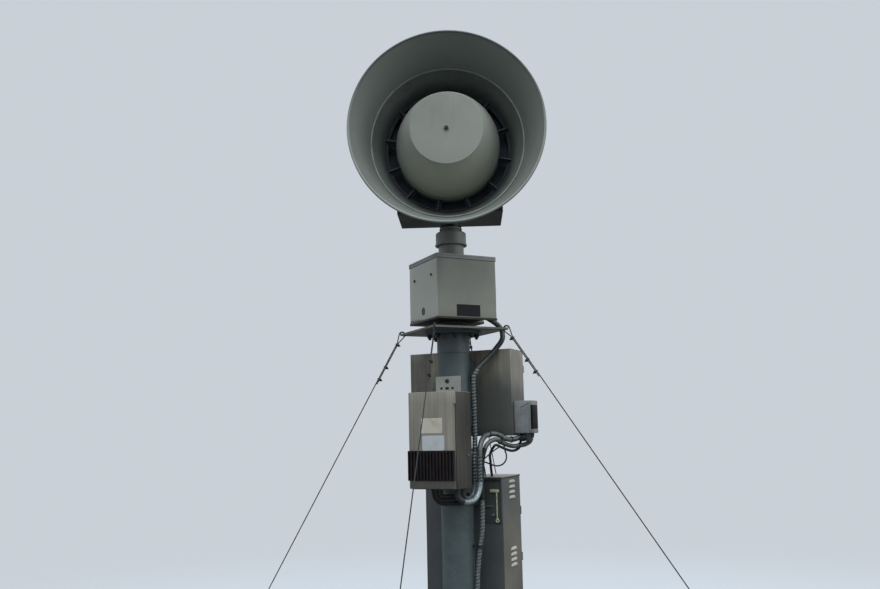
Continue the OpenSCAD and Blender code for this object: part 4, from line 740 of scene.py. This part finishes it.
def build_front_cabinet():
    """The body, its gasket, the lid that is wider at its top, where it hangs on its rail, and bare films."""
    slot, lid_y = "front_cabinet", FRONT_Y + 0.022
    # The body is painted as the shaded copy of the lid's stainless
    folded("front_body", "flank_stainless", slot, (FRONT_L, lid_y + 0.002, FRONT_Z),
           (FRONT_R, BACK_Y, FRONT_TOP), 0.003, 0.001, 0.05, 3)
    folded("front_gasket", "rubber_black", slot, (FRONT_L + 0.003, lid_y - 0.001, FRONT_Z + 0.007),
           (FRONT_R - 0.009, lid_y + 0.0035, FRONT_TOP - 0.003), 0.001)
    # The lid is painted as the lit copy, with painted shade at its foot
    lid = folded("front_lid", "lid_stainless", slot, (FRONT_L + 0.001, FRONT_Y, FRONT_Z + 0.004),
                 (FRONT_R + 0.001, lid_y, FRONT_TOP + 0.001), 0.0025, 0.0014, 0.05, 3)
    carve(lid, block((FRONT_R - 0.006, FRONT_Y - 0.02, FRONT_Z - 0.02),
                     (FRONT_R + 0.02, lid_y + 0.02, FRONT_TOP - 0.060)))
    folded("front_top_edge", "mount_zinc", slot, (FRONT_L, lid_y - 0.004, FRONT_TOP - 0.0015),
           (FRONT_R + 0.001, BACK_Y, FRONT_TOP + 0.0012), 0.0008)
    # A cream film above a white one, with a grey strip between them
    for name, finish, x0, x1, top, high, radius in (
            ("cream_film", "film_cream", 0.41 * FRONT_L, 0.51 * FRONT_R, 1.652, 0.074, 0.0016),
            ("grey_strip", "film_grey", 0.37 * FRONT_L, 0.58 * FRONT_R, 1.578, 0.011, 0.0008),
            ("white_film", "film_white", 0.37 * FRONT_L, 0.58 * FRONT_R, 1.567, 0.074, 0.008)):
        middle = at(TO_CAB, (x0 + x1) / 2, FRONT_Y, top - high / 2, FACE_FRONT)
        plate(name, finish, "blank_plates", x1 - x0, high, radius, middle)


def build_mount_screws():
    """Pan-head screws in the row of holes of the front cabinet's mount plate."""
    pan = [(0.0, -0.003), (0.0045, -0.003), (0.0045, 0.0), (0.0068, 0.0), (0.0066, 0.0016), (0.0052, 0.0029),
           (0.0024, 0.0034), (0.0, 0.0034)]
    data = bmesh.new()
    for x in (-0.0267, 0.0013, 0.0093, 0.0363):
        turned_part(data, pan, 24, at(TO_CAB, x, BACK_Y, FRONT_TOP + 0.0264, FACE_FRONT))
    settle("mount_screws", data, "bolt_black", "front_mount")


def build_lower_cabinet():
    """The shell with its bay, the roof over it, the side sheet and its pressed louvres."""
    slot, far, wall_top = "lower_cabinet", NEAR_Y + LOW_DEEP, LOW_TOP - 0.009
    bay_l, bay_r, bay_low, bay_top = LOW_R - 0.122, LOW_R - 0.010, LOW_TOP - 0.246, LOW_TOP - 0.014
    shell = folded("lower_shell", "charcoal_powder", slot, (LOW_L, NEAR_Y, LOW_Z),
                   (LOW_R - 0.001, far, wall_top + 0.002), 0.003, 0.0016, 0.06, 3)
    carve(shell, block((bay_l, NEAR_Y - 0.02, bay_low), (bay_r, NEAR_Y + 0.014, bay_top)))
    data = bmesh.new()
    folded_box(data, (LOW_L - 0.003, NEAR_Y - 0.003, wall_top), (LOW_R + 0.003, far + 0.003, LOW_TOP),
               0.0035, 0.001, 0.06, 3)
    # The roof's top is painted pale, as painted light where it faces the sky
    for face in data.faces:
        face.material_index = int(face.calc_center_median().z < LOW_TOP - 0.0012)
    settle("lower_roof", data, "roof_powder charcoal_powder", slot)
    # The side sheet is painted as the lit copy of the shell's charcoal
    folded("lower_side_sheet", "brown_powder", slot, (LOW_R - 0.0015, NEAR_Y + 0.003, LOW_Z + 0.003),
           (LOW_R, far - 0.003, wall_top), *SHEET)
    folded("bay_back", "bay_powder", slot, (bay_l + 0.001, NEAR_Y + 0.0125, bay_low + 0.001),
           (bay_r - 0.001, NEAR_Y + 0.0142, bay_top - 0.001), *SHEET)
    folded("bay_bar", "brown_powder", slot, (0.087, NEAR_Y + 0.004, 1.183), (0.146, NEAR_Y + 0.0135, 1.189),
           0.001)
    # Pressed hoods that open downwards, four above and four below, painted pale as painted highlights
    reach, tall, wall, long, pitch, steps = 0.007, 0.0145, 0.0018, 0.086, 0.028, 12
    arc = [radians(15 * j) for j in range(7)]
    data = bmesh.new()
    for level in [top - pitch * k for top in (LOW_TOP - pitch, LOW_TOP - 0.384) for k in range(4)]:
        rings = []
        for step in range(steps + 1):
            swell = max(0.12, (1 - (2 * step / steps - 1) ** 6) ** 0.5)
            hood = [(reach * sin(a), tall * cos(a)) for a in arc]
            hood += [((reach - wall) * sin(a), (tall - wall) * cos(a)) for a in reversed(arc)]
            y = NEAR_Y + 0.38 * LOW_DEEP + long * step / steps
            rings.append([TO_CAB @ Vector((LOW_R - 0.0004 + x * swell, y, level - 0.008 + z * swell))
                          for x, z in hood])
        skin(data, rings)
    settle("pressed_louvres", data, "louvre_powder", slot)


def build_handle():
    """A bar with a ring at its foot under a flat grip, and the knob beside it."""
    y = NEAR_Y + 0.014
    data = bmesh.new()
    bar = [TO_CAB @ Vector((0.171, y - 0.009, z)) for z in (1.118, 1.262)]
    hose(data, paced(bar, 0.012), plain(0.0038), 12)
    folded_box(data, (0.133, y - 0.012, 1.258), (0.184, y, 1.274), 0.0025, 0.0, 0.02, 3)
    loop = [(0.008 + 0.0036 * cos(a), 0.0028 * sin(a)) for a in turns(12)]
    turned_part(data, loop, 28, at(TO_CAB, 0.173, y - 0.009, 1.112, FACE_FRONT))
    settle("bay_handle", data, "handle_zinc", "lower_handle")
    turned("bay_knob", "bolt_bright", "lower_handle",
           [(0.0, 0.0), (0.0045, 0.0), (0.0045, 0.010), (0.007, 0.0125), (0.007, 0.0185), (0.0062, 0.0198),
            (0.0, 0.020)], 28, at(TO_CAB, 0.153, y, 1.143, FACE_FRONT))


def build_junction_box():
    """Base, lid and gasket, with the slanted recess in the near side and the window in the lid."""
    slot, near, far = "junction_box", JUNCTION_Y, JUNCTION_Y + 0.085
    base = folded("junction_base", "polycarbonate_grey", slot, (REAR_R, near, JUNCTION_Z),
                  (0.365, far, JUNCTION_TOP), 0.004, 0.0, 0.05, 3)
    recess = (0.312, 1.586), (0.358, 1.570), (0.358, 1.726), (0.312, 1.704)
    cut = bmesh.new()
    skin(cut, [[TO_CAB @ Vector((x, y, z)) for x, z in recess] for y in (near - 0.02, near + 0.003)])
    carve(base, cut)
    folded("junction_lid", "polycarbonate_grey", slot, (0.3665, near, JUNCTION_Z),
           (0.380, far, JUNCTION_TOP), 0.004, 0.0, 0.05, 3)
    folded("junction_gasket", "gasket_grey", slot, (0.362, near + 0.002, JUNCTION_Z + 0.002),
           (0.369, far - 0.002, JUNCTION_TOP - 0.002), 0.001)
    folded("smoked_window", "polycarbonate_smoked", "junction_window",
           (0.3670, near - 0.0006, JUNCTION_Z + 0.021), (0.3808, far - 0.003, JUNCTION_TOP - 0.022),
           0.0030, 0.0, 0.03, 3)
    data = bmesh.new()
    for y in (near + 0.008, far - 0.008):
        for z in (JUNCTION_Z + 0.011, JUNCTION_TOP - 0.010):
            hex_head(data, at(TO_CAB, 0.380, y, z, FACE_RIGHT), 0.007, 0.0015)
    settle("junction_screws", data, "bolt_bright", slot)


# Conduits, cables and guys: centre lines in millimetres, in the cabinets' frame

DOWN, UP, LEFT = (0, 0, -1), (0, 0, 1), (-1, 0, 0)
# The rotator's hose starts in the rotator box's own frame
FROM_BOX = Matrix.Rotation(BOX_YAW - CAB_YAW, 4, "Z") @ Matrix.Translation((0, 0, 1000 * BOX_Z))
IN_BOX = [tuple(FROM_BOX @ Vector(p)) for p in (
    (90, -108, 28), (143, -108, 24), (170, -106, 13), (197, -104, -1), (221, -103, -17), (237, -103, -37),
    (243, -105, -58))]
OUT_OF_BOX = tuple(FROM_BOX.to_3x3() @ Vector((1, 0, 0)))


def led(point, way):
    """The straight start of a route at a point, 24 mm along way."""
    return [tuple(p + w * along for p, w in zip(point, way)) for along in (0, 8, 16, 24)]


ROTATOR_LINE = [
    *led(IN_BOX[0], OUT_OF_BOX), *IN_BOX[1:], (236.15, 117.45, 2074), (227.15, 110.45, 2050),
    (206.15, 101.45, 2022), (182.15, 81.45, 1985), (154.15, 55.45, 1950), (132.15, 28, 1920),
    (120.15, 10, 1890), (110.15, 0, 1850), (110.15, 0, 1700), (110.15, 0, 1560), (116.15, -20, 1490),
    (122.15, -44, 1420), (122.15, -48, 1315), (121.15, -52, 1289), (117.15, -65, 1262), (111.15, -90, 1245),
    (105, -120.45, 1244), (100, -143.45, 1260), *led((99, -151.45, 1303), DOWN)[::-1]]
LINK_LINE = [
    *led((322, 172.45, 1544), LEFT), (282, 165.45, 1540), (262, 140.45, 1535), (237.15, 105.45, 1541),
    (219.15, 89.45, 1556), (199.15, 70, 1566), (177.15, 44, 1566), (163.15, 12, 1556), (157.15, -18, 1536),
    (156.15, -41, 1507), (157.15, -54, 1467), (157.15, -60, 1400), (157.15, -62, 1319), (155.15, -69, 1286),
    (149.15, -89, 1254), (138.15, -123, 1235), (120, -165.45, 1233), (106, -197.45, 1248),
    (100, -213.45, 1265), *led((99, -217.45, 1303), DOWN)[::-1]]
BASE_LINE = [
    *led((346, 213.45, 1566), DOWN), (340, 210.45, 1524), (320, 198.45, 1509), (292, 175.45, 1502),
    (264, 145.45, 1500), (241, 105.45, 1511), (223.15, 75.45, 1525), (208.15, 50, 1537), (190.15, 25, 1530),
    (173.15, 2, 1509), (163.15, -9, 1475), (155.15, -14, 1434), (149.15, -14, 1340), (146.15, -10, 1240),
    (144.15, -6, 1165), (138.15, -3, 1071), (124.15, 0, 996), (112.15, 0, 908), (104.15, 0, 809),
    (102.15, 0, 600), (102.15, 0, 260), (182, 0, 120), (194, 0, 60), *led((196, 0, 0), UP)[::-1]]
THIN_LINE = [
    (215, 150, 1555), (215, 150, 1550), (215, 150, 1545), (215, 148, 1527), (218, 140, 1500),
    (230, 122, 1475), (243, 104, 1453), (243, 95, 1430), (228, 89, 1409), (203, 84, 1400), (178, 80, 1403),
    (154, 76, 1412), (130, 84, 1419), (110, 108, 1413), (102, 136, 1393), (100, 151.45, 1367),
    (100, 153.45, 1349), (100, 153.45, 1344), (100, 153.45, 1339)]
THICK_LINE = [
    (288, 212, 1566), (288, 212, 1558), (288, 212, 1550), (287, 210, 1526), (284, 200, 1495),
    (272, 175, 1479), (256, 143, 1476), (237, 104, 1487), (220, 75, 1500), (206, 52, 1509), (196, 48, 1501),
    (180, 52, 1480), (165, 66, 1455), (150, 110, 1420), (136, 149.45, 1385), (131, 167.45, 1363),
    (131, 171.45, 1351), (131, 171.45, 1345), (131, 171.45, 1339)]
STRAP_LINE = [
    (146, -34, 1456), (158, -36, 1442), (168, -30, 1438), (182, 10, 1461), (201, 50, 1484), (214, 72, 1496)]


def battery_line(k):
    """One of three rubber cables that bend under the front cabinet and run round the mast."""
    radius, x, z = 63 - 20 * k, 22 * k - 44, 1221 + 20 * k
    back, near, side = 1000 * BACK_Y - 90, 1000 * NEAR_Y, 1000 * POLE_R + 6
    way = Vector((0.74, 0.67, 0)).normalized()
    points = [(x, back, 1303), (x, back, 1293.5)]
    for angle in [radians(22.5 * j) for j in range(5)]:
        points.append(Vector((x, back, 1284 - radius * sin(angle))) + radius * (1 - cos(angle)) * way)
    return points + [(58, back + 88, z), (68, -70, z), (side - 2, -38, z), (side + 7, 0, z),
                     (side + 4, 38, z), (side + 1, 72, z), (side, near - 20, z), (side, near - 10, z),
                     (side, near, z)]


def lay_cord(name, line, girth, finishes, slot, sides, skin_of=None):
    data = bmesh.new()
    length = hose(data, line, girth, sides, skin_of)
    piece = settle(name, data, finishes, slot)


def build_conduits():
    """Conduits wound from strip where they run down the mast, under a smooth sleeve in their bends. Their
    finishes are groove and crown, painted as shade and highlight, upper sleeve, lower sleeve painted lit or
    the stretch in painted shade, and the end that rises again, in painted shade."""
    step, pitch, depth = 0.0034, 0.017, 0.0009
    tied = FRONT_Z + 0.026
    for name, slot, points, radius, bent, straight, bare, finishes in (
            ("rotator_hose", "rotator_conduit", ROTATOR_LINE, 0.0139, BOX_Z - 0.245, tied, BOX_Z,
             "strip_groove strip_crown pvc_black sleeve_grey strip_groove"),
            ("link_hose", "link_conduit", LINK_LINE, 0.0139, REAR_Z - 0.095, tied, REAR_Z,
             "strip_groove strip_crown sleeve_olive sleeve_silver strip_groove"),
            ("base_hose", "base_conduit", BASE_LINE, 0.0119, REAR_Z - 0.060, 0.02, FRONT_Z - 0.07,
             "strip_worn strip_washed sleeve_olive strip_shade")):
        line = routed(points, 8, step)
        # Travelled lengths at which the line first comes below each height, and at which it rises again
        first, last, lit = (step * next(i for i, p in enumerate(line) if p.z < level)
                            for level in (bent, straight, bare))
        rise = step * min(range(len(line)), key=lambda i: line[i].z) + 0.035

        def girth(travelled, angle):
            if first < travelled < last:
                return radius - depth * (0.5 - 0.5 * cos(2 * pi * travelled / pitch - angle))
            return radius

        # Crowns take a painted highlight; grooves, the shaded stretch and the rising end take painted shade
        def skin_of(travelled, angle):
            if travelled > rise:
                return 4
            if travelled < first:
                return 2
            if travelled > last or travelled < lit:
                return 3
            return cos(2 * pi * travelled / pitch - angle) > 0.45

        lay_cord(name, line, girth, finishes, slot, 16, skin_of)


def build_cables():
    """Three battery cables and two control cables."""
    for name, slot, points, radius, step, sides in (
            ("battery_cable_1", "battery_cables", battery_line(0), 0.009, 0.006, 16),
            ("battery_cable_2", "battery_cables", battery_line(1), 0.009, 0.006, 16),
            ("battery_cable_3", "battery_cables", battery_line(2), 0.009, 0.006, 16),
            ("thin_cable", "control_cables", THIN_LINE, 0.004, 0.005, 10),
            ("thick_cable", "control_cables", THICK_LINE, 0.007, 0.005, 14)):
        line = routed(points, 6, step)
        lay_cord(name, line, plain(radius), "rubber_black", slot, sides)


def build_strap():
    """A nylon strap pulled round the hoses, its end left long."""
    data = bmesh.new()
    hose(data, routed(STRAP_LINE, 6, 0.006), lambda travelled, angle: 0.0016 + 0.0022 * abs(cos(angle)), 10)
    settle("loose_strap", data, "nylon_black", "cable_ties")


def build_guys():
    """Four guys, each one wire rope with a round eye on a thimble at both ends."""
    corner_cut, tongue, liner, fit, gap, bend = 0.0075, 0.009, 0.002, 0.0003, 0.0033, 0.048
    tail, low_tail, lay, strand_dip = 0.305, 0.240, 0.056, 0.0004
    eye_z, eye_c = PLATE_TOP - PLATE_T / 2, (PLATE_SIDE - corner_cut) / sqrt(2) - tongue
    eye_in = hypot(tongue + 0.0012, PLATE_T / 2) + 0.0004
    eye_r = eye_in + liner + fit + ROPE_R
    phi = asin(eye_r / hypot(bend, gap)) - atan(gap / bend)
    held = BUCKLE_L + RING_R + eye_in - fit - 0.0008 - RING_WIRE

    def eye(cut):
        loop = [Vector((cut, 0, -gap)), Vector((bend, 0, -gap))]
        for j in range(25):
            angle = radians(270) + phi - (pi + 2 * phi) * j / 24
            loop.append(Vector((eye_r * cos(angle), 0, eye_r * sin(angle))))
        return loop + [Vector((bend, 0, gap))]

    def strands(travelled, angle):
        # Six strands wound right-handed
        return ROPE_R - strand_dip * (0.5 - 0.5 * cos(6 * (angle - 2 * pi * travelled / lay))) ** 0.7

    for index, (side, reach) in enumerate(((135, 1.522), (-45, 1.642), (225, 1.187), (45, 1.560))):
        run, drop = reach - eye_c, eye_z - LUG_H
        low = hypot(run, drop) - held
        place = (Matrix.Rotation(BOX_YAW + radians(side), 4, "Z") @ Matrix.Translation((eye_c, 0, eye_z))
                 @ Matrix.Rotation(atan2(drop, run), 4, "Y"))
        bottom = [Vector((low - p.x, 0, p.z)) for p in reversed(eye(low_tail))]
        data = bmesh.new()
        hose(data, paced([place @ p for p in eye(tail) + bottom], 0.0045), strands, 18)
        settle(f"guy_rope_{index + 1}", data, "rope_zinc", "guy_ropes")


for build in (build_horn, build_bullet, build_rotator, build_rear_cabinet, build_front_cabinet,
              build_mount_screws, build_lower_cabinet, build_handle, build_junction_box, build_conduits,
              build_cables, build_strap, build_guys):
    build()


# Finishes and eased edges on the CAD nodes that stay

for node, (finish, ease) in CAD_FINISH.items():
    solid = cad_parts[node]
    solid.data.materials.clear()
    solid.data.materials.append(bpy.data.materials[finish])
    if ease:
        edges = solid.modifiers.new("eased_edges", "BEVEL")
        edges.width = ease / 1000
        edges.segments = 2
        edges.limit_method = "ANGLE"
        edges.angle_limit = radians(40)


# Studio: pale floor, overcast light from above, the photograph's camera

def build_studio():
    """A dome that is brightest overhead, a floor that fades out, and two soft lamps."""
    scene = bpy.context.scene
    scene.view_settings.view_transform = "Standard"
    scene.world = bpy.data.worlds.new("overcast")
    scene.world.use_nodes = True
    tree = scene.world.node_tree
    tree.nodes.clear()
    path = add(tree, "LightPath").outputs
    seen = add(tree, "Math", {0: path["Is Camera Ray"], 1: path["Is Transmission Ray"]}, operation="MAXIMUM")
    up = add(tree, "SeparateXYZ", {"Vector": add(tree, "TexCoord").outputs["Generated"]}).outputs["Z"]
    dome = add(tree, "MapRange", {"Value": up, 1: -0.35, 2: 0.9, 3: 0.22, 4: 1.33},
               interpolation_type="SMOOTHSTEP")
    sky = add(tree, "Background", {"Color": paint("#eef2f6"), "Strength": dome})
    back = add(tree, "Background", {"Color": paint("#c9d0d7"), "Strength": 1.0})
    add(tree, "OutputWorld", {"Surface": add(tree, "MixShader", {0: seen, 1: sky, 2: back})})

    data = bmesh.new()
    skin(data, [[Vector((r * cos(a), r * sin(a), -0.001)) for a in turns(64)]
                for r in (0.02, 2, 4, 6, 9, 12)], ends=False)
    floor = stood("studio_floor", data)
    coat = Coat("studio_floor_paint")
    shown = coat.add("Mix", {0: coat.add("LightPath").outputs["Is Camera Ray"], 6: paint("#5a5a58"),
                             7: paint("#c4cbd2")}, data_type="RGBA")
    shader = coat.add("BsdfPrincipled", {"Base Color": shown.outputs[2], "Roughness": 0.9})
    reach = coat.add("VectorMath", {0: coat.place}, operation="LENGTH")
    fade = coat.add("MapRange", {"Value": reach.outputs["Value"], 1: 3.5, 2: 8.0},
                    interpolation_type="SMOOTHSTEP")
    edge = coat.add("MixShader", {0: fade, 1: shader, 2: coat.add("BsdfTransparent")})
    coat.add("OutputMaterial", {"Surface": edge})
    floor.data.materials.append(coat.material)

    for name, spot, size, watts, colour in (("sky_panel", (0.2, -3.5, 7.5), 6.0, 260, "#f4f7fb"),
                                            ("side_panel", (5.5, -2.5, 4.0), 4.0, 70, "#f6f4ee")):
        lamp = bpy.data.lights.new(name, "AREA")
        lamp.shape = "DISK"
        lamp.size = size
        lamp.energy = watts
        lamp.color = paint(colour)[:3]
        holder = bpy.data.objects.new(name, lamp)
        holder.location = spot
        holder.rotation_euler = (Vector((0, 0, 2.2)) - Vector(spot)).to_track_quat("-Z", "Y").to_euler()
        scene.collection.objects.link(holder)


def build_camera():
    """The photograph's camera, with its focal length and its picture's width in pixels."""
    yaw, pitch, roll = (radians(a) for a in (1.923, 6.856, 1.253))
    focal, width, crop = 815.744, 880, 36
    forward = Vector((-sin(yaw) * cos(pitch), cos(yaw) * cos(pitch), sin(pitch)))
    level = Vector((cos(yaw), sin(yaw), 0))
    upward = level.cross(forward)
    right = cos(roll) * level - sin(roll) * upward
    top = sin(roll) * level + cos(roll) * upward
    lens = bpy.data.cameras.new("photo_camera")
    lens.sensor_width = 36
    lens.sensor_fit = "HORIZONTAL"
    lens.lens = focal / width * lens.sensor_width
    # The photograph was cropped off its lens's centre
    lens.shift_y = crop / width
    lens.clip_end = 200
    camera = bpy.data.objects.new("photo_camera", lens)
    camera.matrix_world = (Matrix.Translation((0.0756, -4.3377, 1.6))
                           @ Matrix((right, top, -forward)).transposed().to_4x4())
    bpy.context.scene.collection.objects.link(camera)
    bpy.context.scene.camera = camera


build_studio()
build_camera()
